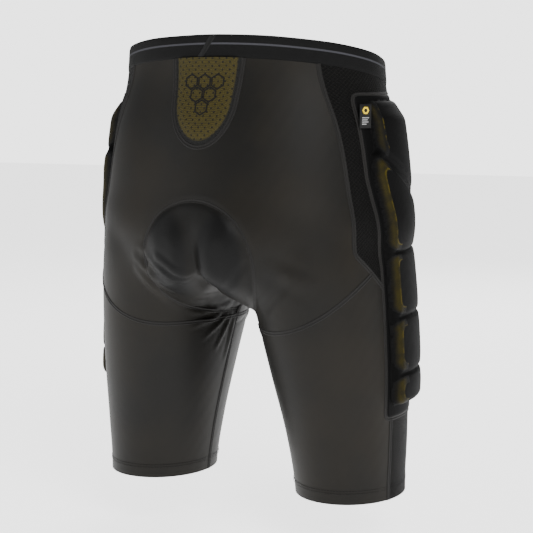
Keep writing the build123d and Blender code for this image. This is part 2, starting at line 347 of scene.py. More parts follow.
    def in_pad(self, p, index):
        """Signed distance to one pad's outline, negative inside it."""
        s = self.seams
        y, z = p[:, 1], p[:, 2]
        rear = np.full(len(p), s.hip_pad_rear) if index == 0 else self.rear_edge(z) - s.border
        front = s.pocket_front + s.border
        field = soft_max(y - rear, front - y, 9 * MM)
        for (at_rear, at_front), sign, gap in (
            (self.cuts[index], 1, s.groove if index else 0), (self.cuts[index + 1], -1, 0)
        ):
            slope = (at_rear - at_front) / (s.rear_hip - s.border - front)
            line = at_front + slope * (y - front) - gap
            across = sign * (z - line) / np.sqrt(1 + slope ** 2)
            field = soft_max(field, across, 9 * MM)
        return np.where(np.abs(p[:, 0]) > s.leg_side, field, 1)

    def in_tail(self, p, edge=0.0):
        s = self.seams
        half = s.tail_half - edge
        foot = s.tail_foot + edge
        turn = foot * 0.45
        low = np.clip((turn - p[:, 2]) / (turn - foot), 0, None)
        wide = half * between(0.90, 1.0, np.clip((p[:, 2] - turn) / -turn, 0, 1))
        reach = np.sqrt((p[:, 0] / wide) ** 2 + low ** 2) - 1
        return np.where(p[:, 1] > 0, reach * half, 1)

    def in_chamois(self, p):
        s = self.seams
        middle = self.crotch + s.chamois_top / 2 - 6 * MM
        tall = s.chamois_top / 2 + 6 * MM
        back = np.sqrt((p[:, 0] / s.chamois_half) ** 2 + ((p[:, 2] - middle) / tall) ** 2) - 1
        front = np.sqrt((p[:, 0] * 2 / s.chamois_half) ** 2
                        + ((p[:, 2] - self.crotch) / (s.chamois_top / 3)) ** 2) - 1
        return np.where(p[:, 1] > 0, back, front) * s.chamois_half

    def leg_seam(self, p, side_rise):
        """Height above the curved seam that joins the trunk to the legs."""
        s = self.seams
        low = self.crotch - s.seam_drop
        out = np.clip((np.abs(p[:, 0]) - s.seam_flat) / (self.body.hip_width / 2 - s.seam_flat), 0, 1)
        return p[:, 2] - low - (side_rise + s.seam_drop) * (1 - np.sqrt(1 - out ** 2 * 0.97)) * 1.2

    def seam_fields(self):
        """Each seam's field, and where it runs."""
        s = self.seams
        corner = self.crotch + s.seat_side

        def everywhere(p):
            return np.full(len(p), True)

        def outer(p):
            return np.abs(p[:, 0]) > s.leg_side

        def bare(p):
            return outer(p) & (self.in_pocket(p) > -1 * MM)

        return [
            (lambda p: p[:, 0], everywhere),
            (lambda p: p[:, 1], lambda p: (np.abs(p[:, 0]) < s.leg_side) & (p[:, 2] < -0.2)),
            (self.in_pocket, outer),
            (lambda p: p[:, 1] - s.side_seam, lambda p: outer(p) & (p[:, 2] > corner - 2 * MM)),
            (lambda p: p[:, 2] - corner + (s.side_seam - p[:, 1]),
             lambda p: bare(p) & (p[:, 1] > 0) & (p[:, 1] < s.side_seam + 1 * MM)),
            (lambda p: p[:, 1] - s.pocket_front, lambda p: bare(p) & (p[:, 1] < 0)),
            (lambda p: p[:, 1] - s.lower_seam, lambda p: outer(p) & (p[:, 2] < s.pocket_bottom + 2 * MM)),
            (lambda p: self.leg_seam(p, s.seat_side), lambda p: (p[:, 1] > -2 * MM) & (
                (np.abs(p[:, 0]) < s.leg_side) | (p[:, 1] > self.rear_edge(p[:, 2])))),
            (lambda p: self.leg_seam(p, s.front_side), lambda p: (p[:, 1] < 2 * MM) & (
                (np.abs(p[:, 0]) < s.leg_side) | (p[:, 1] < s.pocket_front + 2 * MM))),
            (self.in_tail, lambda p: p[:, 1] > 0),
            (self.in_chamois, lambda p: p[:, 2] < -0.1),
            (lambda p: p[:, 2] - self.body.hem_height - 0.018, everywhere),
        ] + [
            (lambda p, n=n, edge=edge: self.in_pad(p, n) + edge, outer)
            for n in range(len(self.cuts) - 1) for edge in (0, s.strip)
        ]

    def cut_seams(self, bm):
        """Trims the body at its band and hems, and cuts it along every seam."""
        b = self.body
        for place, way in (((0, 0, -b.band_height), (0, -TILT, 1)), ((0, 0, b.hem_height), (0, 0, -1))):
            everything = bm.verts[:] + bm.edges[:] + bm.faces[:]
            bmesh.ops.bisect_plane(
                bm, geom=everything, plane_co=place, plane_no=Vector(way).normalized(), clear_outer=True
            )
        fields = self.seam_fields()
        pads = 2 * (len(self.cuts) - 1)
        for field, where in fields[:-pads]:
            self.cut(bm, field, where)
        self.refine(bm)
        for field, where in fields[-pads:]:
            self.cut(bm, field, where)
        bmesh.ops.triangulate(bm, faces=[f for f in bm.faces if len(f.verts) > 4])

    def refine(self, bm):
        """Halves the mesh size in the pockets."""
        centres = np.array([f.calc_center_median() for f in bm.faces])
        near = self.in_pocket(centres) < 0
        edges = {e for f, inside in zip(bm.faces, near) if inside for e in f.edges}
        bmesh.ops.subdivide_edges(bm, edges=list(edges), cuts=1, use_grid_fill=True)
        bmesh.ops.triangulate(bm, faces=[f for f in bm.faces if len(f.verts) > 4])

    @staticmethod
    def cut(bm, field, where):
        """Splits every face that the field's zero line crosses."""
        snap = 0.35 * MM
        bm.verts.ensure_lookup_table()
        points = np.array([v.co for v in bm.verts])
        value = field(points)
        allowed = where(points)
        value[np.abs(value) < snap] = 0
        on_line = {bm.verts[i] for i in np.flatnonzero((value == 0) & allowed)}
        bm.verts.index_update()
        crossing = []
        for edge in bm.edges:
            a, b = edge.verts[0].index, edge.verts[1].index
            if value[a] * value[b] < 0 and allowed[a] and allowed[b]:
                crossing.append((edge, value[a] / (value[a] - value[b])))
        for edge, share in crossing:
            _, vert = bmesh.utils.edge_split(edge, edge.verts[0], share)
            on_line.add(vert)
        faces = {f for v in on_line for f in v.link_faces}
        for face in faces:
            ends = [v for v in face.verts if v in on_line]
            if len(ends) != 2:
                continue
            first, last = ends
            if any(last in e.verts for e in first.link_edges):
                continue
            bmesh.utils.face_split(face, first, last)

    def read(self, bm):
        """Keeps the cut body as arrays, with each face's panel."""
        s = self.seams
        bm.normal_update()
        bm.verts.index_update()
        self.points = np.array([v.co for v in bm.verts])
        self.points[np.abs(self.points[:, 0]) < 0.36 * MM, 0] = 0
        self.normals = np.array([v.normal for v in bm.verts])
        self.faces = [tuple(v.index for v in f.verts) for f in bm.faces]
        bm.faces.index_update()
        self.edges = [
            (e.verts[0].index, e.verts[1].index, tuple(f.index for f in e.link_faces)) for e in bm.edges
        ]
        c = self.centres = np.array([f.calc_center_median() for f in bm.faces])
        x, y, z = np.abs(c[:, 0]), c[:, 1], c[:, 2]
        corner = self.crotch + s.seat_side
        outer = x > s.leg_side
        panel = np.where(y > 0, "back_leg_panel", "front_leg_panel").astype("U20")
        panel[(y > 0) & (self.leg_seam(c, s.seat_side) > 0)] = "seat_panel"
        panel[(y <= 0) & (self.leg_seam(c, s.front_side) > 0)] = "front_panel"
        lower = outer & (y < s.lower_seam) & (y > s.pocket_front) & (z < s.pocket_bottom + 4 * MM)
        panel[lower] = "lower_side_panel"
        mesh = outer & (y < s.side_seam) & (y > s.pocket_front) & (z > corner - (s.side_seam - y))
        panel[mesh] = "side_mesh"
        panel[self.in_tail(c) < 0] = "tail_window"
        panel[self.in_pocket(c) < 0] = "pad_pocket"
        strips = np.minimum.reduce([self.in_strip(c, n) for n in range(len(self.cuts) - 1)])
        panel[(strips < 0) & (panel == "pad_pocket")] = "pad_edge_net"
        self.panel = panel
        self.side = np.where(c[:, 0] > 0, "left", "right")

    def shape(self):
        """How far the cloth stands off the body: pads, seat pad, window and creases."""
        s, p = self.seams, self.points
        x, y, z = np.abs(p[:, 0]), p[:, 1], p[:, 2]
        lift = 1.5 * MM * ramp(-self.in_pocket(p), 0, 3 * MM)
        swell = self.pad_swell(p)
        window = 2.5 * MM * ramp(-self.in_tail(p), 0, 14 * MM)
        lobe = np.sqrt(((x - 31 * MM) / (25 * MM)) ** 2
                       + ((z - self.crotch - 0.068) / (48 * MM)) ** 2)
        lobes = np.where(y > 0, 4.5 * MM * ramp(-lobe, -1.15, -0.35), 0)
        seat_line = self.in_chamois(p)
        behind = ramp(y, 0, 20 * MM)
        # Painted shade: how far the jersey over the seat pad and its lobes is darkened
        self.seat_pad_shade = behind * (0.45 * ramp(-seat_line, 0, 5 * MM) + 0.55 * ramp(-lobe, -1.1, -0.8))
        seat_edge = -1.3 * MM * np.exp(-(seat_line / (3 * MM)) ** 2) + 1.4 * MM * ramp(-seat_line, 0, 9 * MM)
        seat_edge = np.where(y > 0, seat_edge, 0.5 * seat_edge)
        cleft = np.where(y > 0, -7.0 * MM * np.exp(-(x / (8 * MM)) ** 2)
                         * ramp(-z, 0.160, 0.225) * ramp(y, 0, 0.05), 0)
        self.lift = lift + swell + window + lobes + seat_edge + cleft + self.creases(p)
        self.placed = p + self.normals * self.lift[:, None]
        self.worn = self.vertex_normals(self.placed)

    def vertex_normals(self, points):
        """Area-weighted normals of the whole body's points."""
        total = np.zeros_like(points)
        for face in self.faces:
            corners = points[list(face)]
            total[list(face)] += np.cross(corners[1] - corners[0], corners[2] - corners[0])
        return total / np.maximum(np.linalg.norm(total, axis=1), 1e-12)[:, None]

    def pad_swell(self, p):
        """How far the pads stand off the body, with the cloth pulled into their channels."""
        s = self.seams
        y, z = p[:, 1], p[:, 2]
        front = s.pocket_front + s.border
        lines = []
        for at_rear, at_front in self.cuts:
            slope = (at_rear - at_front) / (s.rear_hip - s.border - front)
            lines.append((z - at_front - slope * (y - front)) / np.sqrt(1 + slope ** 2))
        rear = between(self.rear_edge(z) - s.border, s.hip_pad_rear, ramp(lines[1], -8 * MM, 4 * MM))
        slab = soft_max(soft_max(y - rear, front - y, 9 * MM), soft_max(lines[0], -lines[-1], 9 * MM), 9 * MM)
        slab = np.where(np.abs(p[:, 0]) > s.leg_side, slab, 1)
        share = np.clip(-slab / s.slope, 0, 1)
        height = s.pad * np.sqrt(1 - (1 - share) ** 2) + 1.0 * MM * ramp(-slab, 0, 30 * MM)
        for number, line in enumerate(lines[1:-1]):
            gap = np.abs(line + s.groove / 2)
            height -= share * (s.channel * np.exp(-(gap / (2.4 * MM)) ** 2)
                               + 0.9 * MM * np.exp(-(gap / (9 * MM)) ** 2))
            if number == 0:
                for fold in (-9, -5, 5, 9):
                    away = line + s.groove / 2 - fold * MM * (0.45 + 0.55 * (s.rear_hip - y) / (s.rear_hip - front))
                    height -= share * 1.3 * MM * np.exp(-(away / (1.7 * MM)) ** 2)
        height *= 0.5 + 0.5 * ramp(-lines[0], 2 * MM, 24 * MM)
        return np.where(slab < 0, height, 0)

    def in_strip(self, p, index):
        """Signed distance to the net strip over one pad's rear edge, negative inside it."""
        s = self.seams
        inner = self.in_pad(p, index)
        behind = self.rear_edge(p[:, 2]) - s.border - 16 * MM
        return np.maximum(np.maximum(inner, -inner - s.strip), behind - p[:, 1])

    def creases(self, p):
        """Soft folds that run out from the crotch and round the seat pad."""
        total = np.zeros(len(p))
        for side, start, end, wide, high in CREASES:
            a, b = np.array(start) * MM, np.array(end) * MM
            near = p * (side, 1, 1)
            along = np.clip((near - a) @ (b - a) / ((b - a) @ (b - a)), 0, 1)
            apart = near - a - along[:, None] * (b - a)
            up = self.normals * (side, 1, 1)
            depth = (apart * up).sum(axis=1)
            gap = np.linalg.norm(apart - depth[:, None] * up, axis=1) / (wide * MM)
            taper = np.sin(pi * np.clip(along * 0.88 + 0.12, 0, 1)) ** 0.7
            profile = np.exp(-gap ** 2) - 0.5 * np.exp(-((gap - 1.6) / 0.7) ** 2)
            shown = (near[:, 0] > 0) & (np.abs(depth) < 22 * MM)
            total += np.where(shown, high * MM * profile * taper, 0)
        return total


# Folds as (side, start, end, half width, height) with x outwards, in millimetres; a valley is negative
CREASES = [
    (1, (8, 30, -284), (24, 92, -262), 3.5, 1.8),
    (1, (10, 25, -285), (32, 84, -286), 3.5, 2.0),
    (1, (12, 22, -287), (40, 76, -302), 3.2, 1.9),
    (1, (14, 18, -290), (36, 56, -318), 3.2, 1.8),
    (1, (15, 12, -292), (33, 32, -334), 3.2, 1.6),
    (1, (16, 4, -294), (32, 8, -350), 3.4, 1.4),
    (1, (72, 130, -214), (34, 136, -244), 6, -2.2),
    (1, (80, 122, -230), (50, 104, -270), 5, 1.7),
    (1, (62, 126, -236), (36, 112, -266), 4, 1.3),
    (1, (42, 145, -212), (6, 140, -236), 4, 1.3),
    (1, (38, 140, -226), (8, 132, -248), 3.5, 1.2),
    (-1, (8, 30, -284), (24, 90, -264), 3.5, 1.6),
    (-1, (12, 22, -287), (38, 76, -302), 3.4, 1.6),
    (-1, (15, 12, -292), (34, 34, -336), 3.4, 1.4),
    (-1, (94, 118, -236), (62, 104, -272), 6, -2.0),
    (-1, (84, 126, -222), (118, 96, -240), 8, 1.2),
    (-1, (58, 134, -216), (30, 130, -246), 4, -1.2),
    (1, (10, -60, -262), (70, -96, -290), 6, 1.5),
    (-1, (10, -60, -262), (70, -96, -290), 6, 1.5),
    (1, (14, -90, -236), (96, -96, -262), 7, 1.5),
    (-1, (14, -90, -236), (96, -96, -262), 7, 1.5),
    (1, (10, -30, -286), (34, -70, -312), 4, 1.5),
    (-1, (10, -30, -286), (34, -70, -312), 4, 1.5),
]

made = {}


def pattern():
    """The cut body, made once and shared by the operators."""
    if "pattern" not in made:
        made["pattern"] = Pattern(bpy.context.scene.shorts_body, bpy.context.scene.shorts_seams)
    return made["pattern"]


def new_piece(name, points, faces):
    """A mesh object at the origin."""
    mesh = bpy.data.meshes.new(name)
    mesh.from_pydata([tuple(p) for p in points], [], faces)
    mesh.validate()
    piece = bpy.data.objects.new(name, mesh)
    bpy.context.collection.objects.link(piece)
    for face in mesh.polygons:
        face.use_smooth = True
    return piece


def between_layers(name, faces, outer, inner):
    """A closed solid between two offsets of the body over some of its faces."""
    pat = pattern()
    used = sorted({i for f in faces for i in pat.faces[f]})
    place = {old: new for new, old in enumerate(used)}
    count = len(used)
    points = pat.points[used]
    normals = pat.normals[used]
    top = points + normals * outer[used][:, None]
    bottom = points + normals * inner[used][:, None]
    shell, rim = [], {}
    for f in faces:
        corners = [place[i] for i in pat.faces[f]]
        shell.append(tuple(corners))
        shell.append(tuple(c + count for c in corners[::-1]))
        for a, b in zip(corners, corners[1:] + corners[:1]):
            if (b, a) in rim:
                del rim[(b, a)]
            else:
                rim[(a, b)] = True
    for a, b in rim:
        shell.append((b, a, a + count, b + count))
    piece = new_piece(name, np.concatenate([top, bottom]), shell)
    smooth = pattern().worn[used]
    normals = []
    for face in piece.data.polygons:
        layers = {corner < count for corner in face.vertices}
        if len(layers) == 2:
            normals += [face.normal.copy()] * len(face.vertices)
        else:
            way = 1 if layers == {True} else -1
            normals += [way * smooth[corner % count] for corner in face.vertices]
    piece.data.normals_split_custom_set([tuple(n) for n in normals])
    return piece


def resample(points, normals, step):
    """Even points along a line, with its normals."""
    gaps = np.linalg.norm(np.diff(points, axis=0), axis=1)
    run = np.concatenate([[0], np.cumsum(gaps)])
    count = max(int(run[-1] / step), 2)
    at = np.linspace(0, run[-1], count)
    line = np.stack([np.interp(at, run, points[:, k]) for k in range(3)], axis=1)
    up = np.stack([np.interp(at, run, normals[:, k]) for k in range(3)], axis=1)
    return line, up / np.linalg.norm(up, axis=1)[:, None], at


def soften(points, closed, rounds=6):
    """Evens out a line, with its ends held."""
    points = points.copy()
    for _ in range(rounds):
        middle = (np.roll(points, 1, axis=0) + np.roll(points, -1, axis=0)) / 2
        if not closed:
            middle[0], middle[-1] = points[0], points[-1]
        points = between(points, middle, 0.6)
    return points


def chains(edges):
    """Joins edges into lines of vertex numbers."""
    beside = {}
    for a, b in edges:
        beside.setdefault(a, set()).add(b)
        beside.setdefault(b, set()).add(a)
    left = {frozenset(e) for e in edges}
    starts = sorted(v for v, near in beside.items() if len(near) != 2) + sorted(beside)
    lines = []
    for start in starts:
        for second in sorted(beside[start]):
            if frozenset((start, second)) not in left:
                continue
            line = [start, second]
            left.discard(frozenset((start, second)))
            while len(beside[line[-1]]) == 2:
                ahead = [v for v in sorted(beside[line[-1]]) if frozenset((line[-1], v)) in left]
                if not ahead:
                    break
                left.discard(frozenset((line[-1], ahead[0])))
                line.append(ahead[0])
            lines.append(line)
    return lines


# Cross-section of a flatlock seam: distance from its middle and height, in millimetres
FLATLOCK = [(-2.8, -0.5), (-2.6, 0.15), (-2.0, 0.8), (-1.4, 1.0), (-0.8, 0.55), (0, 0.2),
            (0.8, 0.55), (1.4, 1.0), (2.0, 0.8), (2.6, 0.15), (2.8, -0.5)]


def seam_piece(name, lines, section, pitch=2.4):
    """Thread-covered seams along lines on the placed cloth, ridged at every stitch."""
    pat = pattern()
    points, faces = [], []
    for line in lines:
        closed = line[0] == line[-1]
        path = soften(pat.placed[line], closed)
        up = soften(pat.normals[line], closed)
        if np.linalg.norm(np.diff(path, axis=0), axis=1).sum() < 4 * MM:
            continue
        path, up, run = resample(path, up, 0.8 * MM)
        ahead = np.gradient(path, axis=0)
        ahead /= np.linalg.norm(ahead, axis=1)[:, None]
        out = np.cross(ahead, up)
        out /= np.linalg.norm(out, axis=1)[:, None]
        first = len(points)
        width = len(section)
        for k in range(len(path)):
            ripple = 0.82 + 0.18 * cos(2 * pi * run[k] / (pitch * MM))
            for across, high in section:
                rise = high * (ripple if high > 0 else 1)
                points.append(path[k] + out[k] * across * MM + up[k] * rise * MM)
        for k in range(len(path) - 1):
            here, there = first + k * width, first + (k + 1) * width
            for j in range(width):
                after = (j + 1) % width
                faces.append((here + j, there + j, there + after, here + after))
        faces.append(tuple(first + j for j in range(width)))
        last = first + (len(path) - 1) * width
        faces.append(tuple(last + j for j in range(width))[::-1])
    piece = new_piece(name, points, faces)
    outward(piece)
    return piece


def mark(piece, faces, name, values):
    """Keeps a value of the body's points on both layers of a piece."""
    used = sorted({i for f in faces for i in pattern().faces[f]})
    layer = piece.data.attributes.new(name, "FLOAT", "POINT")
    layer.data.foreach_set("value", np.tile(values[used], 2))


def outward(piece):
    """Turns every face of a closed piece outwards."""
    bm = bmesh.new()
    bm.from_mesh(piece.data)
    bmesh.ops.recalc_face_normals(bm, faces=bm.faces)
    bm.to_mesh(piece.data)
    bm.free()


def follow(piece):
    """Bakes the piece's transform into its mesh."""
    start = Vector((0, 0, pattern().crotch))
    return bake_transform(piece)


def cloth(piece, rests_on, fullness=0.8):
    """Takes a stretch panel, whose cut is 4% smaller than its worn area, and does nothing with it."""


def paint(piece, material):
    piece.data.materials.clear()
    piece.data.materials.append(material)


def add_node(tree, kind, inputs=None, **settings):
    """Adds a node with its settings; inputs holds values or other nodes' outputs."""
    new = tree.nodes.new(kind)
    for key, value in settings.items():
        setattr(new, key, value)
    for key, value in (inputs or {}).items():
        if isinstance(value, bpy.types.NodeSocket):
            tree.links.new(value, new.inputs[key])
        else:
            new.inputs[key].default_value = value
    return new


def blank_material(name):
    """A material with an empty tree, and its shader."""
    material = bpy.data.materials.new(name)
    material.use_nodes = True
    tree = material.node_tree
    tree.nodes.clear()
    shader = add_node(tree, "ShaderNodeBsdfPrincipled")
    add_node(tree, "ShaderNodeOutputMaterial", {"Surface": shader.outputs[0]})
    coords = add_node(tree, "ShaderNodeTexCoord")
    return material, tree, shader, coords


def finish_colours():
    return bpy.context.scene.shorts_finishes


def rgba(value):
    return (*value, 1)


def jersey_material():
    """Warp-knit nylon and elastane, calendered: a satin warm black, paler where it is stretched."""
    if "jersey" in made:
        return made["jersey"]
    c = finish_colours()
    material, tree, shader, coords = blank_material("warp_knit_nylon_elastane")
    place = coords.outputs["Object"]
    # Wales run down the cloth 0.9 mm apart, drawn twice as coarse so that they show
    wales = add_node(tree, "ShaderNodeTexWave", {"Vector": place, "Scale": 1 / (1.8 * MM * 20),
                     "Distortion": 1.5, "Detail": 1.0}, bands_direction="DIAGONAL")
    pulled = add_node(tree, "ShaderNodeTexNoise", {"Vector": place, "Scale": 9.0, "Detail": 3.0})
    yarn = add_node(tree, "ShaderNodeTexNoise", {"Vector": place, "Scale": 1 / (1.1 * MM), "Detail": 2.0})
    spread = add_node(tree, "ShaderNodeMapRange", {"Value": pulled.outputs[0], "From Min": 0.38,
                      "From Max": 0.68})
    tone = add_node(tree, "ShaderNodeMix", {"Factor": spread.outputs[0], "A": rgba(c.jersey),
                    "B": rgba(c.jersey_worn)}, data_type="RGBA")
    # Painted shade: over the seat pad and its lobes the jersey is painted a cooler, darker black
    cover = add_node(tree, "ShaderNodeAttribute", attribute_name="cover").outputs["Fac"]
    tone = add_node(tree, "ShaderNodeMix", {"Factor": cover, "A": tone.outputs["Result"],
                    "B": rgba([v * 0.45 for v in c.pocket])}, data_type="RGBA")
    rough = add_node(tree, "ShaderNodeMapRange", {"Value": yarn.outputs[0], "To Min": 0.44,
                     "To Max": 0.60})
    weave = add_node(tree, "ShaderNodeMath", {0: wales.outputs["Fac"], 1: yarn.outputs[0]}, operation="ADD")
    bump = add_node(tree, "ShaderNodeBump", {"Height": weave.outputs[0], "Strength": 0.22,
                    "Distance": 0.25 * MM})
    tree.links.new(tone.outputs["Result"], shader.inputs["Base Color"])
    tree.links.new(rough.outputs[0], shader.inputs["Roughness"])
    tree.links.new(bump.outputs[0], shader.inputs["Normal"])
    shader.inputs["Specular IOR Level"].default_value = 0.13
    made["jersey"] = material
    return material


def plain_knit(key, name, tone_value, pitch, depth, rough, sheen, spread=0.25, gloss=0.12):
    """A knit of fine loops, from its loop spacing in millimetres."""
    if key in made:
        return made[key]
    material, tree, shader, coords = blank_material(name)
    place = coords.outputs["Object"]
    loops = add_node(tree, "ShaderNodeTexVoronoi", {"Vector": place, "Scale": 1 / (pitch * MM),
                     "Randomness": 0.35})
    cloud = add_node(tree, "ShaderNodeTexNoise", {"Vector": place, "Scale": 14.0, "Detail": 4.0})
    dark = tuple(v * (1 - spread) for v in tone_value)
    pale = tuple(min(v * (1 + spread), 1) for v in tone_value)
    tone = add_node(tree, "ShaderNodeMix", {"Factor": cloud.outputs[0], "A": rgba(dark),
                    "B": rgba(pale)}, data_type="RGBA")
    bump = add_node(tree, "ShaderNodeBump", {"Height": loops.outputs["Distance"], "Strength": 0.5,
                    "Distance": depth * MM}, invert=True)
    spread_rough = add_node(tree, "ShaderNodeMapRange", {"Value": loops.outputs["Distance"],
                            "To Min": rough, "To Max": min(rough + 0.14, 1.0)})
    tree.links.new(tone.outputs["Result"], shader.inputs["Base Color"])
    tree.links.new(spread_rough.outputs[0], shader.inputs["Roughness"])
    tree.links.new(bump.outputs[0], shader.inputs["Normal"])
    shader.inputs["Sheen Weight"].default_value = sheen
    shader.inputs["Sheen Tint"].default_value = (0.1, 0.1, 0.1, 1)
    shader.inputs["Specular IOR Level"].default_value = gloss
    made[key] = material
    return material


def diamond_net(tree, place, pitch):
    """0 on the yarns of a diamond net and 1 in its holes, on the side's own plane."""
    split = add_node(tree, "ShaderNodeSeparateXYZ", {"Vector": place})
    parts = []
    for sign in ("ADD", "SUBTRACT"):
        slant = add_node(tree, "ShaderNodeMath", {0: split.outputs["Y"], 1: split.outputs["Z"]},
                         operation=sign)
        turns = add_node(tree, "ShaderNodeMath", {0: slant.outputs[0], 1: pi / (pitch * MM)},
                         operation="MULTIPLY")
        wave = add_node(tree, "ShaderNodeMath", {0: turns.outputs[0]}, operation="SINE")
        parts.append(add_node(tree, "ShaderNodeMath", {0: wave.outputs[0]}, operation="ABSOLUTE"))
    low = add_node(tree, "ShaderNodeMath", {0: parts[0].outputs[0], 1: parts[1].outputs[0]},
                   operation="MULTIPLY")
    return add_node(tree, "ShaderNodeMapRange", {"Value": low.outputs[0], "From Min": 0.15,
                    "From Max": 0.6}).outputs[0]


def net_material(key, name, yarn, behind, pitch, depth):
    """An open diamond net of knitted yarn, its holes painted in a darker colour that stands for what lies behind
    them and the shade inside them.
    """
    if key in made:
        return made[key]
    material, tree, shader, coords = blank_material(name)
    hole = diamond_net(tree, coords.outputs["Object"], pitch)
    fuzz = add_node(tree, "ShaderNodeTexNoise", {"Vector": coords.outputs["Object"],
                    "Scale": 1 / (0.9 * MM), "Detail": 2.0})
    # Painted shade: the holes take the darker colour
    tone = add_node(tree, "ShaderNodeMix", {"Factor": hole, "A": rgba(yarn), "B": rgba(behind)},
                    data_type="RGBA")
    high = add_node(tree, "ShaderNodeMath", {0: hole, 1: -1.0, 2: fuzz.outputs[0]},
                    operation="MULTIPLY_ADD")
    bump = add_node(tree, "ShaderNodeBump", {"Height": high.outputs[0], "Strength": 0.9,
                    "Distance": depth * MM})
    tree.links.new(tone.outputs["Result"], shader.inputs["Base Color"])
    tree.links.new(bump.outputs[0], shader.inputs["Normal"])
    shader.inputs["Roughness"].default_value = 0.62
    shader.inputs["Specular IOR Level"].default_value = 0.07
    made[key] = material
    return material


def foam_material(key="foam", name="perforated_eva_foam", veil=0.0):
    """Cross-linked foam, punched with staggered holes; a veil of black net darkens it."""
    if key in made:
        return made[key]
    c = finish_colours()
    material, tree, shader, coords = blank_material(name)
    split = add_node(tree, "ShaderNodeSeparateXYZ", {"Vector": coords.outputs["Object"]})
    # Holes 2 mm wide, 8 mm apart along a row, in rows 4 mm apart
    waves = []
    for axis, sign in (("X", "ADD"), ("X", "SUBTRACT")):
        slant = add_node(tree, "ShaderNodeMath", {0: split.outputs[axis], 1: split.outputs["Z"]},
                         operation=sign)
        turns = add_node(tree, "ShaderNodeMath", {0: slant.outputs[0], 1: pi / (8 * MM)},
                         operation="MULTIPLY")
        wave = add_node(tree, "ShaderNodeMath", {0: turns.outputs[0]}, operation="SINE")
        waves.append(add_node(tree, "ShaderNodeMath", {0: wave.outputs[0]}, operation="ABSOLUTE"))
    dots = add_node(tree, "ShaderNodeMath", {0: waves[0].outputs[0], 1: waves[1].outputs[0]},
                    operation="MULTIPLY")
    hole = add_node(tree, "ShaderNodeMapRange", {"Value": dots.outputs[0], "From Min": 0.80,
                    "From Max": 0.92})
    pores = add_node(tree, "ShaderNodeTexNoise", {"Vector": coords.outputs["Object"],
                     "Scale": 1 / (0.8 * MM), "Detail": 3.0})
    bright = tuple(v * (1 - veil) + 0.006 * veil for v in c.foam)
    dim = tuple(v * 0.55 for v in bright)
    base = add_node(tree, "ShaderNodeMix", {"Factor": pores.outputs[0], "A": rgba(dim),
                    "B": rgba(bright)}, data_type="RGBA")
    tone = add_node(tree, "ShaderNodeMix", {"Factor": hole.outputs[0], "A": base.outputs["Result"],
                    "B": (0.004, 0.004, 0.003, 1)}, data_type="RGBA")
    if veil:
        # The foam ends 6 mm inside the window's seam, and the net is black beyond it
        inset = add_node(tree, "ShaderNodeAttribute", attribute_name="inset").outputs["Fac"]
        over = add_node(tree, "ShaderNodeMapRange", {"Value": inset, "From Min": 5.0, "From Max": 6.6})
        tone = add_node(tree, "ShaderNodeMix", {"Factor": over.outputs[0], "A": (0.004, 0.004, 0.004, 1),
                        "B": tone.outputs["Result"]}, data_type="RGBA")
        net = diamond_net(tree, coords.outputs["Object"], 1.6)
        shade = add_node(tree, "ShaderNodeMapRange", {"Value": net, "To Min": 0.35, "To Max": 1.0})
        tone = add_node(tree, "ShaderNodeMix", {"Factor": shade.outputs[0], "A": (0.006, 0.006, 0.005, 1),
                        "B": tone.outputs["Result"]}, data_type="RGBA")
    deep = add_node(tree, "ShaderNodeMath", {0: hole.outputs[0], 1: -1.0, 2: pores.outputs[0]},
                    operation="MULTIPLY_ADD")
    bump = add_node(tree, "ShaderNodeBump", {"Height": deep.outputs[0], "Strength": 0.7,
                    "Distance": 0.6 * MM})
    tree.links.new(tone.outputs["Result"], shader.inputs["Base Color"])
    tree.links.new(bump.outputs[0], shader.inputs["Normal"])
    shader.inputs["Roughness"].default_value = 0.6
    shader.inputs["Specular IOR Level"].default_value = 0.13
    made[key] = material
    return material


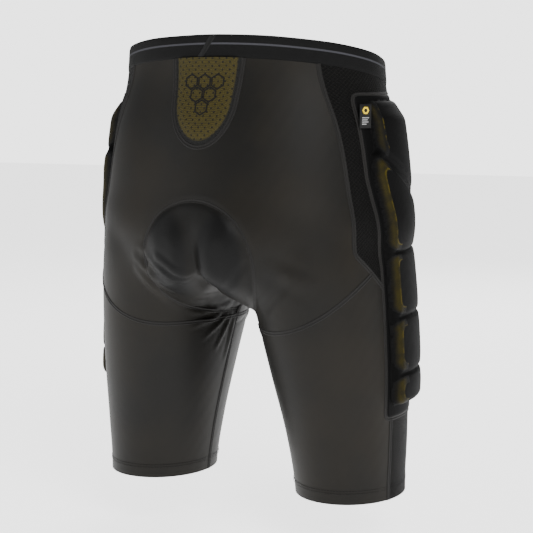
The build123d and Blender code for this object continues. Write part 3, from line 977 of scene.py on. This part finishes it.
def strip_material():
    """Black net over the foam's cut edge: dim yellow, with a painted highlight along its crease, a broken paler
    line.
    """
    if "strip" in made:
        return made["strip"]
    c = finish_colours()
    material, tree, shader, coords = blank_material("net_over_foam_edge")
    inset = add_node(tree, "ShaderNodeAttribute", attribute_name="inset").outputs["Fac"]
    ahead = add_node(tree, "ShaderNodeAttribute", attribute_name="ahead").outputs["Fac"]
    patch = add_node(tree, "ShaderNodeTexNoise", {"Vector": coords.outputs["Object"],
                     "Scale": 1 / (9 * MM), "Detail": 3.0})
    net = diamond_net(tree, coords.outputs["Object"], 1.5)
    rise = add_node(tree, "ShaderNodeMapRange", {"Value": inset, "From Min": 0.5, "From Max": 3.0})
    end = add_node(tree, "ShaderNodeMapRange", {"Value": ahead, "From Min": 13.0, "From Max": 8.5})
    body = add_node(tree, "ShaderNodeMath", {0: rise.outputs[0], 1: end.outputs[0]}, operation="MULTIPLY")
    worn = add_node(tree, "ShaderNodeMapRange", {"Value": patch.outputs[0], "From Min": 0.3,
                    "From Max": 0.65, "To Min": 0.35})
    seen = add_node(tree, "ShaderNodeMath", {0: body.outputs[0], 1: worn.outputs[0]}, operation="MULTIPLY")
    shade = add_node(tree, "ShaderNodeMapRange", {"Value": net, "To Min": 0.45, "To Max": 1.0})
    dim = add_node(tree, "ShaderNodeMath", {0: seen.outputs[0], 1: shade.outputs[0]}, operation="MULTIPLY")
    # Painted highlight: a broken line of paler yellow about 6.6 mm in from the pad's edge, where its crease would
    # catch the light
    off = add_node(tree, "ShaderNodeMath", {0: inset, 1: 6.6}, operation="SUBTRACT")
    away = add_node(tree, "ShaderNodeMath", {0: off.outputs[0]}, operation="ABSOLUTE")
    line = add_node(tree, "ShaderNodeMapRange", {"Value": away.outputs[0], "From Min": 0.7,
                    "From Max": 0.2})
    glint_dashes = add_node(tree, "ShaderNodeMapRange", {"Value": patch.outputs[0], "From Min": 0.48,
                      "From Max": 0.56})
    bright = add_node(tree, "ShaderNodeMath", {0: line.outputs[0], 1: glint_dashes.outputs[0]},
                      operation="MULTIPLY")
    black = rgba(c.pocket)
    tone = add_node(tree, "ShaderNodeMix", {"Factor": dim.outputs[0], "A": black,
                    "B": rgba([v * 0.075 for v in c.foam])}, data_type="RGBA")
    with_painted_glint = add_node(tree, "ShaderNodeMix", {"Factor": bright.outputs[0], "A": tone.outputs["Result"],
                   "B": rgba([v * 0.16 for v in c.foam])}, data_type="RGBA")
    bump = add_node(tree, "ShaderNodeBump", {"Height": net, "Strength": 0.6, "Distance": 0.3 * MM},
                    invert=True)
    tree.links.new(with_painted_glint.outputs["Result"], shader.inputs["Base Color"])
    tree.links.new(bump.outputs[0], shader.inputs["Normal"])
    shader.inputs["Roughness"].default_value = 0.65
    shader.inputs["Specular IOR Level"].default_value = 0.1
    made["strip"] = material
    return material


def band_material():
    """Knitted elastic: dense ribs round the waist, and one line of grey yarn."""
    if "band" in made:
        return made["band"]
    c = finish_colours()
    material, tree, shader, coords = blank_material("knitted_elastic")
    split = add_node(tree, "ShaderNodeSeparateXYZ", {"Vector": coords.outputs["UV"]})
    # The map holds millimetres, round the band and down it; the grey line is 2 mm wide
    off = add_node(tree, "ShaderNodeMath", {0: split.outputs["Y"], 1: 9.6}, operation="SUBTRACT")
    away = add_node(tree, "ShaderNodeMath", {0: off.outputs[0]}, operation="ABSOLUTE")
    line = add_node(tree, "ShaderNodeMapRange", {"Value": away.outputs[0], "From Min": 1.15,
                    "From Max": 0.75})
    rib_turn = add_node(tree, "ShaderNodeMath", {0: split.outputs["X"], 1: 2 * pi / 1.6},
                        operation="MULTIPLY")
    rib = add_node(tree, "ShaderNodeMath", {0: rib_turn.outputs[0]}, operation="SINE")
    row_turn = add_node(tree, "ShaderNodeMath", {0: split.outputs["Y"], 1: 2 * pi / 1.2},
                        operation="MULTIPLY")
    row = add_node(tree, "ShaderNodeMath", {0: row_turn.outputs[0]}, operation="SINE")
    knit = add_node(tree, "ShaderNodeMath", {0: rib.outputs[0], 1: row.outputs[0]}, operation="MULTIPLY")
    fuzz = add_node(tree, "ShaderNodeTexNoise", {"Vector": coords.outputs["Object"],
                    "Scale": 1 / (1.5 * MM), "Detail": 2.0})
    ground = add_node(tree, "ShaderNodeMix", {"Factor": fuzz.outputs[0], "A": rgba(c.band),
                      "B": rgba([v * 1.8 for v in c.band])}, data_type="RGBA")
    tone = add_node(tree, "ShaderNodeMix", {"Factor": line.outputs[0], "A": ground.outputs["Result"],
                    "B": rgba(c.stripe)}, data_type="RGBA")
    bump = add_node(tree, "ShaderNodeBump", {"Height": knit.outputs[0], "Strength": 0.5,
                    "Distance": 0.3 * MM})
    tree.links.new(tone.outputs["Result"], shader.inputs["Base Color"])
    tree.links.new(bump.outputs[0], shader.inputs["Normal"])
    shader.inputs["Roughness"].default_value = 0.7
    shader.inputs["Specular IOR Level"].default_value = 0.1
    made["band"] = material
    return material


def thread_material():
    """Textured polyester thread, laid side by side: short satin ridges."""
    return plain_knit("thread", "texturised_polyester_thread", tuple(finish_colours().thread),
                      0.9, 0.3, 0.5, 0.2, 0.35)


def pocket_material():
    """Smooth polyester jersey, matte and cooler than the body."""
    return plain_knit("pocket", "brushed_polyester_jersey", tuple(finish_colours().pocket),
                      1.3, 0.12, 0.6, 0.0, gloss=0.05)


def liner_material():
    """Brushed tricot: a soft, matte black."""
    return plain_knit("liner", "brushed_tricot", tuple(finish_colours().liner), 1.6, 0.2, 0.8, 0.4)


def mesh_material():
    """Warp-knit mesh with open diamonds, 4 mm across."""
    c = finish_colours()
    # The holes are painted near black: partly the black cloth inside the shorts, partly painted shade
    return net_material("mesh", "warp_knit_diamond_mesh", c.mesh, (0.002, 0.002, 0.002), 4.2, 0.9)


def gloss_material():
    """Thermoplastic film bonded by heat: smooth, near-black and glossy."""
    if "gloss" in made:
        return made["gloss"]
    material, tree, shader, coords = blank_material("bonded_polyurethane_film")
    orange = add_node(tree, "ShaderNodeTexNoise", {"Vector": coords.outputs["Object"],
                      "Scale": 1 / (2.5 * MM), "Detail": 2.0})
    tone = add_node(tree, "ShaderNodeMix", {"Factor": orange.outputs[0], "A": (0.002, 0.002, 0.002, 1),
                    "B": (0.006, 0.006, 0.006, 1)}, data_type="RGBA")
    bump = add_node(tree, "ShaderNodeBump", {"Height": orange.outputs[0], "Strength": 0.15,
                    "Distance": 0.2 * MM})
    tree.links.new(tone.outputs["Result"], shader.inputs["Base Color"])
    tree.links.new(bump.outputs[0], shader.inputs["Normal"])
    shader.inputs["Roughness"].default_value = 0.34
    shader.inputs["Specular IOR Level"].default_value = 0.12
    made["gloss"] = material
    return material


def yarn_material(key, name, tone_value):
    """Satin-woven yarn of a label or a print."""
    return plain_knit(key, name, tuple(tone_value), 0.8, 0.15, 0.6, 0.1, 0.15)


class BuildPanels(bpy.types.Operator):
    """Build the stretch panels, mesh panels and pad pockets"""

    bl_idname = "shorts.build_panels"
    bl_label = "Build Panels"

    def execute(self, context):
        pat = pattern()
        c = finish_colours()
        finishes = {
            "seat_panel": (jersey_material(), "stretch_jersey"),
            "front_panel": (jersey_material(), "stretch_jersey"),
            "back_leg_panel": (jersey_material(), "stretch_jersey"),
            "front_leg_panel": (jersey_material(), "stretch_jersey"),
            "side_mesh": (mesh_material(), "side_mesh"),
            "pad_pocket": (pocket_material(), "pocket_jersey"),
            "pad_edge_net": (strip_material(), "window_net"),
            # Painted shade: the pique's holes are a darker copy of its yarn colour
            "lower_side_panel": (
                net_material("lower", "pique_knit", c.mesh, [v * 0.35 for v in c.mesh], 1.9, 0.4),
                "lower_side_knit",
            ),
        }
        thin = pat.lift - pat.body.cloth
        inset = -np.minimum.reduce([pat.in_pad(pat.points, n) for n in range(len(pat.cuts) - 1)]) / MM
        ahead = (pat.rear_edge(pat.points[:, 2]) - pat.seams.border - pat.points[:, 1]) / MM
        for panel, (material, slot) in finishes.items():
            for name, side in SIDES:
                faces = np.flatnonzero((pat.panel == panel) & (pat.side == name))
                piece = between_layers(f"{name}_{panel}_cloth", faces, pat.lift, thin)
                paint(piece, material)
                shared = panel in ("seat_panel", "front_panel")
                node = "pad_pocket" if panel == "pad_edge_net" else panel
                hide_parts(node if shared else f"{name}_{node}")
                if panel == "pad_edge_net":
                    mark(piece, faces, "inset", inset)
                    mark(piece, faces, "ahead", ahead)
                # The jersey carries the painted shade over the seat pad
                if material is jersey_material():
                    mark(piece, faces, "cover", pat.seat_pad_shade)
                follow(piece)
                cloth(piece, rests_on=["waistband_knit"] if shared else [])
        return {"FINISHED"}


class BuildPads(bpy.types.Operator):
    """Build the foam pads and their liners"""

    bl_idname = "shorts.build_pads"
    bl_label = "Build Pads"

    def execute(self, context):
        pat = pattern()
        names = ["hip_pad"] + [f"thigh_pad_{n}" for n in range(1, len(pat.cuts) - 1)]
        zero = np.zeros(len(pat.points))
        for name, side in SIDES:
            for index, label in enumerate(names):
                inside = (pat.in_pad(pat.centres, index) < 0) & (pat.side == name)
                top = np.maximum(pat.lift - pat.body.cloth - 0.5 * MM, 0.8 * MM)
                pad = between_layers(f"{name}_{label}_foam", np.flatnonzero(inside), top, zero + 0.3 * MM)
                paint(pad, foam_material())
                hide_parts(f"{name}_{label}")
                follow(pad)
            faces = np.flatnonzero(np.isin(pat.panel, ("pad_pocket", "pad_edge_net")) & (pat.side == name))
            liner = between_layers(f"{name}_pad_liner_cloth", faces, zero, zero - pat.body.cloth)
            paint(liner, liner_material())
            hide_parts(f"{name}_pad_liner")
            follow(liner)
            cloth(liner, rests_on=[])
        return {"FINISHED"}


class BuildTailWindow(bpy.types.Operator):
    """Build the tailbone window, its foam, its liner and its printed cells"""

    bl_idname = "shorts.build_tail_window"
    bl_label = "Build Tailbone Window"

    def execute(self, context):
        pat = pattern()
        faces = np.flatnonzero(pat.panel == "tail_window")
        net = between_layers("tail_window_net_cloth", faces, pat.lift, pat.lift - pat.body.cloth)
        paint(net, foam_material("veiled", "net_over_perforated_foam", veil=0.86))
        mark(net, faces, "inset", -pat.in_tail(pat.points) / MM)
        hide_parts("tail_window_net")
        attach(net, "pelvis")
        self.print_cells(pat)
        cloth(net, rests_on=["waistband_knit"])
        core = np.flatnonzero(pat.in_tail(pat.centres, 6 * MM) < 0)
        below = pat.lift - pat.body.cloth - 0.4 * MM
        pad = between_layers("tail_pad_foam", core, below, below * 0 - 9.5 * MM)
        paint(pad, foam_material())
        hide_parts("tail_pad")
        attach(pad, "pelvis")
        liner = between_layers("tail_pad_liner_cloth", faces, below * 0 - 9.9 * MM, below * 0 - 11.0 * MM)
        paint(liner, liner_material())
        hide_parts("tail_pad_liner")
        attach(liner, "pelvis")
        cloth(liner, rests_on=[])
        return {"FINISHED"}


    @staticmethod
    def print_cells(pat):
        """A plain print of open six-sided cells on the net."""
        back = np.flatnonzero(pat.placed[:, 1] > 50 * MM)
        size, sides = 9.0, 24
        points, faces = [], []
        for across, down in ((-7.8, 42), (7.8, 42), (0, 55.5), (0, 28.5), (-15.6, 28.5), (15.6, 28.5)):
            first = len(points)
            for out in (0.35, -0.1):
                for radius in (size - 0.4, size - 2.0):
                    for k in range(sides):
                        corner, share = divmod(k, 4)
                        a, b = (pi / 3 * (corner + 0.5), pi / 3 * (corner + 1.5))
                        x = (across + radius * between(cos(a), cos(b), share / 4)) * MM
                        z = (radius * between(sin(a), sin(b), share / 4) - down) * MM
                        gap = (pat.placed[back, 0] - x) ** 2 + (pat.placed[back, 2] - z) ** 2
                        near = back[np.argmin(gap)]
                        up, at = pat.normals[near], pat.placed[near]
                        y = at[1] - (up[0] * (x - at[0]) + up[2] * (z - at[2])) / up[1]
                        points.append(np.array([x, y, z]) + up * out * MM)
            for k in range(sides):
                n = (k + 1) % sides
                for a, b in ((0, 1), (1, 3), (3, 2), (2, 0)):
                    faces.append((first + a * sides + k, first + a * sides + n,
                                  first + b * sides + n, first + b * sides + k))
        cells = new_piece("tail_window_print", points, faces)
        outward(cells)
        for face in cells.data.polygons:
            face.use_smooth = False
        paint(cells, yarn_material("print", "screen_printed_ink", (0.004, 0.004, 0.004)))
        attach(cells, "pelvis")


class BuildSeatPad(bpy.types.Operator):
    """Build the seat pad inside the crotch"""

    bl_idname = "shorts.build_seat_pad"
    bl_label = "Build Seat Pad"

    def execute(self, context):
        pat = pattern()
        inside = pat.in_chamois(pat.centres) < 0
        inside &= pat.centres[:, 2] < -0.1
        x, z = np.abs(pat.points[:, 0]), pat.points[:, 2]
        lobe = np.sqrt(((x - 29 * MM) / (23 * MM)) ** 2 + ((z - pat.crotch - 0.066) / (43 * MM)) ** 2)
        foam = 8 * MM * np.sqrt(np.clip(1 - lobe ** 2, 0, 1))
        under = pat.lift - pat.body.cloth - 0.4 * MM
        centre_x, centre_z = np.abs(pat.centres[:, 0]), pat.centres[:, 2]
        at_lobe = np.sqrt(((centre_x - 29 * MM) / (23 * MM)) ** 2
                          + ((centre_z - pat.crotch - 0.066) / (43 * MM)) ** 2) < 1
        for name, side in SIDES:
            mine = pat.side == name
            base = between_layers(f"{name}_seat_pad_base", np.flatnonzero(inside & mine), under,
                                  under - 2 * MM)
            paint(base, liner_material())
            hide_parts("chamois_base")
            follow(base)
            chosen = np.flatnonzero(inside & mine & at_lobe & (pat.centres[:, 1] > 0))
            pad = between_layers(f"{name}_seat_pad_lobe", chosen, under - 2.2 * MM, under - 3 * MM - foam)
            paint(pad, liner_material())
            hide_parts("chamois_lobes")
            follow(pad)
        return {"FINISHED"}


class BuildWaistband(bpy.types.Operator):
    """Build the knitted waistband and the tab on its back"""

    bl_idname = "shorts.build_waistband"
    bl_label = "Build Waistband"

    def execute(self, context):
        pat = pattern()
        columns, rows = 360, 14
        angles = np.linspace(0, 2 * pi, columns, endpoint=False)
        loops = []
        for k in range(2 * rows):
            outside = k < rows
            share = (k if outside else 2 * rows - 1 - k) / (rows - 1)
            round_over = 1 - 0.9 * (2 * share - 1) ** 6
            wave = 0.5 * MM * np.sin(7 * angles + 1.3) + 0.3 * MM * np.sin(13 * angles)
            offset_out = (0.9 if outside else -1.2) * MM * round_over + wave * (1 - share)
            loops.append(self.ring(pat, angles, share, offset_out))
        points = np.concatenate(loops)
        faces = []
        for k in range(len(loops)):
            here, there = k * columns, (k + 1) % len(loops) * columns
            for j in range(columns):
                after = (j + 1) % columns
                faces.append((here + j, there + j, there + after, here + after))
        band = new_piece("waistband_knit", points, faces)
        outward(band)
        self.map_band(band, pat, columns, rows)
        paint(band, band_material())
        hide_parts("waistband")
        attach(band, "pelvis")
        self.tab(pat)
        return {"FINISHED"}

    @staticmethod
    def ring(pat, angles, share, out):
        """One ring of the band, share of the way down it."""
        z = np.zeros(len(angles))
        for _ in range(4):
            row = pat.curve(pat.trunk_rings(), z)
            y = row[:, 0] + (row[:, 2] + out) * np.sin(angles)
            z = TILT * y - share * (pat.body.band_height + 0.5 * MM)
        x = (row[:, 1] + out) * np.cos(angles)
        return np.stack([x, y, z], axis=1)

    @staticmethod
    def map_band(band, pat, columns, rows):
        """A map in millimetres, round the band and down it."""
        layer = band.data.uv_layers.new(name="UVMap")
        girth = 810.0
        for face in band.data.polygons:
            for corner in face.loop_indices:
                index = band.data.loops[corner].vertex_index
                row, column = divmod(index, columns)
                share = (row if row < rows else 2 * rows - 1 - row) / (rows - 1)
                layer.data[corner].uv = (column / columns * girth, share * 24.0)

    def tab(self, pat):
        """The slanted film tab, over the band's back."""
        low, high = (np.array(corner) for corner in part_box("waist_tab"))
        lean, width = 16 * MM, 7 * MM
        down, across = 16, 8
        grid = []
        for i in range(down + 1):
            for j in range(across + 1):
                share = i / down
                x = -lean / 2 + lean * share + (j / across - 0.5) * width
                angle = pi / 2 - x / (pat.body.waist_width / 2)
                rim = 0.45 * MM * (1 - (2 * j / across - 1) ** 4) * (1 - (2 * share - 1) ** 8)
                grid.append(self.ring(pat, np.array([angle]), share * 0.98 + 0.01,
                                      np.array([1.1 * MM + rim]))[0])
        back = [p - np.array([0, 0.6 * MM, 0]) for p in grid]
        faces = []
        total = len(grid)
        step = across + 1
        for i in range(down):
            for j in range(across):
                a = i * step + j
                faces.append((a, a + 1, a + step + 1, a + step))
                faces.append(tuple(total + v for v in (a, a + step, a + step + 1, a + 1)))
        rim = [j for j in range(step)] + [i * step + across for i in range(1, down + 1)]
        rim += [down * step + j for j in range(across - 1, -1, -1)] + [i * step for i in range(down - 1, 0, -1)]
        for a, b in zip(rim, rim[1:] + rim[:1]):
            faces.append((a, b, total + b, total + a))
        tab = new_piece("waist_tab_film", grid + back, faces)
        outward(tab)
        paint(tab, gloss_material())
        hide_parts("waist_tab")
        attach(tab, "pelvis")


class BuildSeams(bpy.types.Operator):
    """Build the flatlock seams and the seat pad's stitch line"""

    bl_idname = "shorts.build_seams"
    bl_label = "Build Seams"

    def execute(self, context):
        pat = pattern()
        groups = {
            "seat_seam": [("seat_panel", "back_leg_panel")],
            "front_seam": [("front_panel", "front_leg_panel")],
            "mesh_seam": [("seat_panel", "side_mesh"), ("front_panel", "side_mesh"),
                          ("side_mesh", "back_leg_panel"), ("side_mesh", "front_leg_panel")],
            "pocket_seam": [("pad_pocket", other) for other in (
                "side_mesh", "back_leg_panel", "front_leg_panel", "lower_side_panel", "front_panel",
                "seat_panel")],
            "lower_side_seam": [("lower_side_panel", "back_leg_panel"),
                                ("lower_side_panel", "front_leg_panel")],
            "inseam": [("back_leg_panel", "front_leg_panel"), ("seat_panel", "front_panel"),
                       ("seat_panel", "front_leg_panel"), ("front_panel", "back_leg_panel")],
        }
        joined = {frozenset(pair): seam for seam, pairs in groups.items() for pair in pairs}
        found = {}
        tail = []
        seat_line = {"left": [], "right": []}
        inside_seat = pat.in_chamois(pat.centres) < 0
        for a, b, faces in pat.edges:
            if len(faces) != 2:
                continue
            one, two = faces
            pair = frozenset(str(pat.panel[f]).replace("pad_edge_net", "pad_pocket") for f in faces)
            if "tail_window" in pair and len(pair) == 2:
                tail.append((a, b))
            elif pair in joined:
                found.setdefault((joined[pair], pat.side[one]), []).append((a, b))
            elif inside_seat[one] != inside_seat[two] and pat.centres[one][2] < -0.1:
                if pat.centres[one][1] > 0:
                    seat_line[pat.side[one]].append((a, b))
        for (seam, name), edges in sorted(found.items()):
            piece = seam_piece(f"{name}_{seam}", chains(edges), FLATLOCK)
            self.dress(piece, 1 if name == "left" else -1)
        for name, edges in seat_line.items():
            piece = seam_piece(f"{name}_seat_pad_stitching", chains(edges), FLATLOCK)
            self.dress(piece, 1 if name == "left" else -1)
        window = seam_piece("tail_window_seam", chains(tail), FLATLOCK)
        paint(window, thread_material())
        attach(window, "pelvis")
        return {"FINISHED"}

    @staticmethod
    def dress(piece, side):
        paint(piece, thread_material())
        follow(piece)


class BuildHems(bpy.types.Operator):
    """Build the turned-up hems and their two rows of stitches"""

    bl_idname = "shorts.build_hems"
    bl_label = "Build Hems"

    def execute(self, context):
        pat = pattern()
        low = pat.body.hem_height
        zero = np.zeros(len(pat.points))
        for name, side in SIDES:
            mine = (pat.side == name) & (pat.centres[:, 2] < low + 18 * MM)
            faces = np.flatnonzero(mine)
            facing = between_layers(f"{name}_hem_fold", faces, zero - 1.3 * MM, zero - 2.5 * MM)
            paint(facing, jersey_material())
            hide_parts(f"{name}_hem_facing")
            follow(facing)
            cloth(facing, rests_on=[])
            line = [
                (a, b) for a, b, _ in pat.edges
                if abs(pat.points[a][2] - low - 18 * MM) < 0.4 * MM
                and abs(pat.points[b][2] - low - 18 * MM) < 0.4 * MM and pat.points[a][0] * side > 0
            ]
            stitches = self.rows(f"{name}_hem_stitches", chains(line), side)
            paint(stitches, thread_material())
            follow(stitches)
        return {"FINISHED"}

    @staticmethod
    def rows(name, lines, side):
        """Two rows of short stitches below the given lines."""
        pat = pattern()
        points, faces = [], []
        for line, drop in [(line, drop) for line in lines if len(line) > 4 for drop in (3.0, 6.0)]:
            path, up, _ = resample(pat.placed[line], pat.normals[line], 3.2 * MM)
            ahead = np.gradient(path, axis=0)
            ahead /= np.linalg.norm(ahead, axis=1)[:, None]
            for k in range(len(path)):
                first = len(points)
                middle = path[k] - np.array([0, 0, drop * MM])
                across = np.cross(ahead[k], up[k])
                for along, thick in ((-1.2, 0.08), (-0.7, 0.28), (0.7, 0.28), (1.2, 0.08)):
                    for corner in range(6):
                        turn = 2 * pi * corner / 6
                        points.append(middle + ahead[k] * along * MM + across * thick * cos(turn) * MM
                                      + up[k] * (thick * sin(turn) + 0.12) * MM)
                for ring in range(3):
                    for corner in range(6):
                        a, b = first + ring * 6 + corner, first + ring * 6 + (corner + 1) % 6
                        faces.append((a, b, b + 6, a + 6))
                faces.append(tuple(first + c for c in range(6)))
                faces.append(tuple(first + 18 + c for c in range(5, -1, -1)))
        piece = new_piece(name, points, faces)
        outward(piece)
        return piece


class BuildLabel(bpy.types.Operator):
    """Build the woven label on the right pocket's seam"""

    bl_idname = "shorts.build_label"
    bl_label = "Build Label"

    def execute(self, context):
        low, high = (np.array(corner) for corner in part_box("label_tab"))
        c = finish_colours()
        rear = np.array([high[0], high[1], 0])
        ahead = np.array([low[0] - high[0], low[1] - high[1], 0])
        ahead /= np.linalg.norm(ahead)
        up = np.array([ahead[1], -ahead[0], 0])
        middle_z = (low[2] + high[2]) / 2
        wide, tall = 14 * MM, high[2] - low[2]
        self.frame = (rear + up * 0.3 * MM + ahead * 0.6 * MM, ahead, up, middle_z)
        ground = self.plate("label_ground", 0, wide, -tall / 2, tall / 2, 0.0, 0.8)
        paint(ground, yarn_material("label", "damask_woven_polyester", c.label))
        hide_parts("label_tab")
        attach(ground, "label")
        cell = [(7 + 4.2 * cos(pi * k / 3), 6 + 4.2 * sin(pi * k / 3)) for k in range(6)]
        core = [(7 + 2.2 * cos(pi * k / 3), 6 + 2.2 * sin(pi * k / 3)) for k in range(6)]
        mark = self.hoop("label_cell", cell, core, 0.8, 1.0)
        paint(mark, yarn_material("mark", "damask_yellow_yarn", c.label_mark))
        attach(mark, "label")
        lines = []
        for number, (start, end) in enumerate(((2.6, 11.4), (2.6, 9.6), (2.6, 10.6), (2.6, 8.2))):
            z = -1.6 - 2.2 * number
            lines.append(self.plate(f"label_line_{number + 1}", start * MM, end * MM, (z - 0.5) * MM,
                                    (z + 0.5) * MM, 0.8, 0.95))
        for line in lines:
            paint(line, yarn_material("line", "damask_grey_yarn", c.label_line))
            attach(line, "label")
        return {"FINISHED"}

    def spot(self, along, z, out):
        """A point of the label, from its sewn edge, its middle and its back."""
        rear, ahead, up, middle_z = self.frame
        curl = 0.6 * MM * (along / (14 * MM)) ** 2
        point = rear + ahead * along + up * (out * MM - 0.8 * MM + curl)
        return np.array([point[0], point[1], middle_z + z])

    def plate(self, name, start, end, low, high, inner, outer):
        """A thin rectangle of cloth that curls with the label."""
        across, down = 8, 4
        points, faces = [], []
        for out in (outer, inner):
            for i in range(across + 1):
                for j in range(down + 1):
                    edge = 0.15 if (i in (0, across) or j in (0, down)) and out == outer else 0
                    points.append(self.spot(between(start, end, i / across),
                                            between(low, high, j / down), out - edge))
        step = down + 1
        total = (across + 1) * step
        for i in range(across):
            for j in range(down):
                a = i * step + j
                faces.append((a, a + 1, a + step + 1, a + step))
                faces.append(tuple(total + v for v in (a, a + step, a + step + 1, a + 1)))
        rim = list(range(step)) + [i * step + down for i in range(1, across + 1)]
        rim += [across * step + j for j in range(down - 1, -1, -1)] + [i * step for i in range(across - 1, 0, -1)]
        for a, b in zip(rim, rim[1:] + rim[:1]):
            faces.append((a, b, total + b, total + a))
        piece = new_piece(name, points, faces)
        outward(piece)
        return piece

    def hoop(self, name, outline, core, inner, outer):
        """A flat six-sided ring."""
        points, faces = [], []
        for out in (outer, inner):
            for ring in (outline, core):
                points += [self.spot(a * MM, z * MM, out) for a, z in ring]
        for k in range(6):
            n = (k + 1) % 6
            faces += [(k, n, 6 + n, 6 + k), (12 + k, 18 + k, 18 + n, 12 + n),
                      (k, 12 + k, 12 + n, n), (6 + k, 6 + n, 18 + n, 18 + k)]
        piece = new_piece(name, points, faces)
        outward(piece)
        for face in piece.data.polygons:
            face.use_smooth = False
        return piece


class BuildStage(bpy.types.Operator):
    """Set up the floor, the soft light and the camera"""

    bl_idname = "shorts.build_stage"
    bl_label = "Build Stage"

    def execute(self, context):
        bpy.ops.object.select_all(action="DESELECT")
        bpy.ops.mesh.primitive_plane_add(size=14, location=(0, 0, CAD_BOX[0][2] - 0.06))
        floor = context.active_object
        floor.name = "floor"
        material, tree, shader, coords = blank_material("matt_white_paper")
        grain = add_node(tree, "ShaderNodeTexNoise", {"Vector": coords.outputs["Object"], "Scale": 40.0})
        tone = add_node(tree, "ShaderNodeMapRange", {"Value": grain.outputs[0], "To Min": 0.88,
                        "To Max": 0.92})
        tree.links.new(tone.outputs[0], shader.inputs["Base Color"])
        shader.inputs["Roughness"].default_value = 0.9
        shader.inputs["Emission Color"].default_value = (1, 1, 1, 1)
        shader.inputs["Emission Strength"].default_value = 2.1
        floor.data.materials.append(material)
        world = bpy.data.worlds.new("studio")
        world.use_nodes = True
        sky = world.node_tree
        seen = add_node(sky, "ShaderNodeLightPath").outputs["Is Camera Ray"]
        strength = add_node(sky, "ShaderNodeMapRange", {"Value": seen, "To Min": 0.42, "To Max": 3.0})
        sky.nodes["Background"].inputs["Color"].default_value = (1, 1, 1, 1)
        sky.links.new(strength.outputs[0], sky.nodes["Background"].inputs["Strength"])
        context.scene.world = world
        for name, place, size, power in (
            ("key", (-1.5, 1.3, 1.1), 1.2, 48),
            ("fill", (1.5, 1.5, 0.5), 1.4, 16),
            ("front", (0.3, -1.9, 0.9), 1.4, 24),
        ):
            light = bpy.data.lights.new(name, "AREA")
            light.energy, light.size = power, size
            lamp = bpy.data.objects.new(name, light)
            lamp.location = place
            lamp.rotation_euler = (Vector((0, 0, -0.22)) - Vector(place)).to_track_quat("-Z", "Y").to_euler()
            context.collection.objects.link(lamp)
        azimuth, elevation, distance = radians(207), radians(7), 1.59
        way = Vector((sin(azimuth) * cos(elevation), -cos(azimuth) * cos(elevation), sin(elevation)))
        aim = Vector((-0.0122, -0.0062, -0.2366))
        camera = bpy.data.cameras.new("camera")
        camera.lens, camera.sensor_width = 94.15, 36
        holder = bpy.data.objects.new("camera", camera)
        holder.location = aim + way * distance
        holder.rotation_euler = (-way).to_track_quat("-Z", "Y").to_euler()
        context.collection.objects.link(holder)
        context.scene.camera = holder
        return {"FINISHED"}


PIECES = (BuildPanels, BuildPads, BuildTailWindow, BuildSeatPad, BuildWaistband, BuildSeams, BuildHems,
          BuildLabel)


class ShortsPanel(bpy.types.Panel):
    """Lists the pieces of the shorts and their settings"""

    bl_idname = "VIEW3D_PT_shorts"
    bl_label = "Padded Impact Shorts"
    bl_space_type = "VIEW_3D"
    bl_region_type = "UI"
    bl_category = "Shorts"

    def draw(self, context):
        for operator in (*PIECES, BuildStage):
            self.layout.operator(operator.bl_idname)
        for group in (context.scene.shorts_body, context.scene.shorts_seams,
                      context.scene.shorts_finishes):
            box = self.layout.box()
            for key in group.__annotations__:
                box.prop(group, key)


CLASSES = (BodySizes, SeamSizes, Finishes, *PIECES, BuildStage, ShortsPanel)


def register():
    for cls in CLASSES:
        bpy.utils.register_class(cls)
    bpy.types.Scene.shorts_body = bpy.props.PointerProperty(type=BodySizes)
    bpy.types.Scene.shorts_seams = bpy.props.PointerProperty(type=SeamSizes)
    bpy.types.Scene.shorts_finishes = bpy.props.PointerProperty(type=Finishes)


def unregister():
    del bpy.types.Scene.shorts_finishes
    del bpy.types.Scene.shorts_seams
    del bpy.types.Scene.shorts_body
    for cls in reversed(CLASSES):
        bpy.utils.unregister_class(cls)


def main():
    register()
    bpy.ops.shorts.build_stage()
    for operator in PIECES:
        getattr(bpy.ops.shorts, operator.bl_idname.split(".")[1])()


if __name__ == "__main__":
    main()
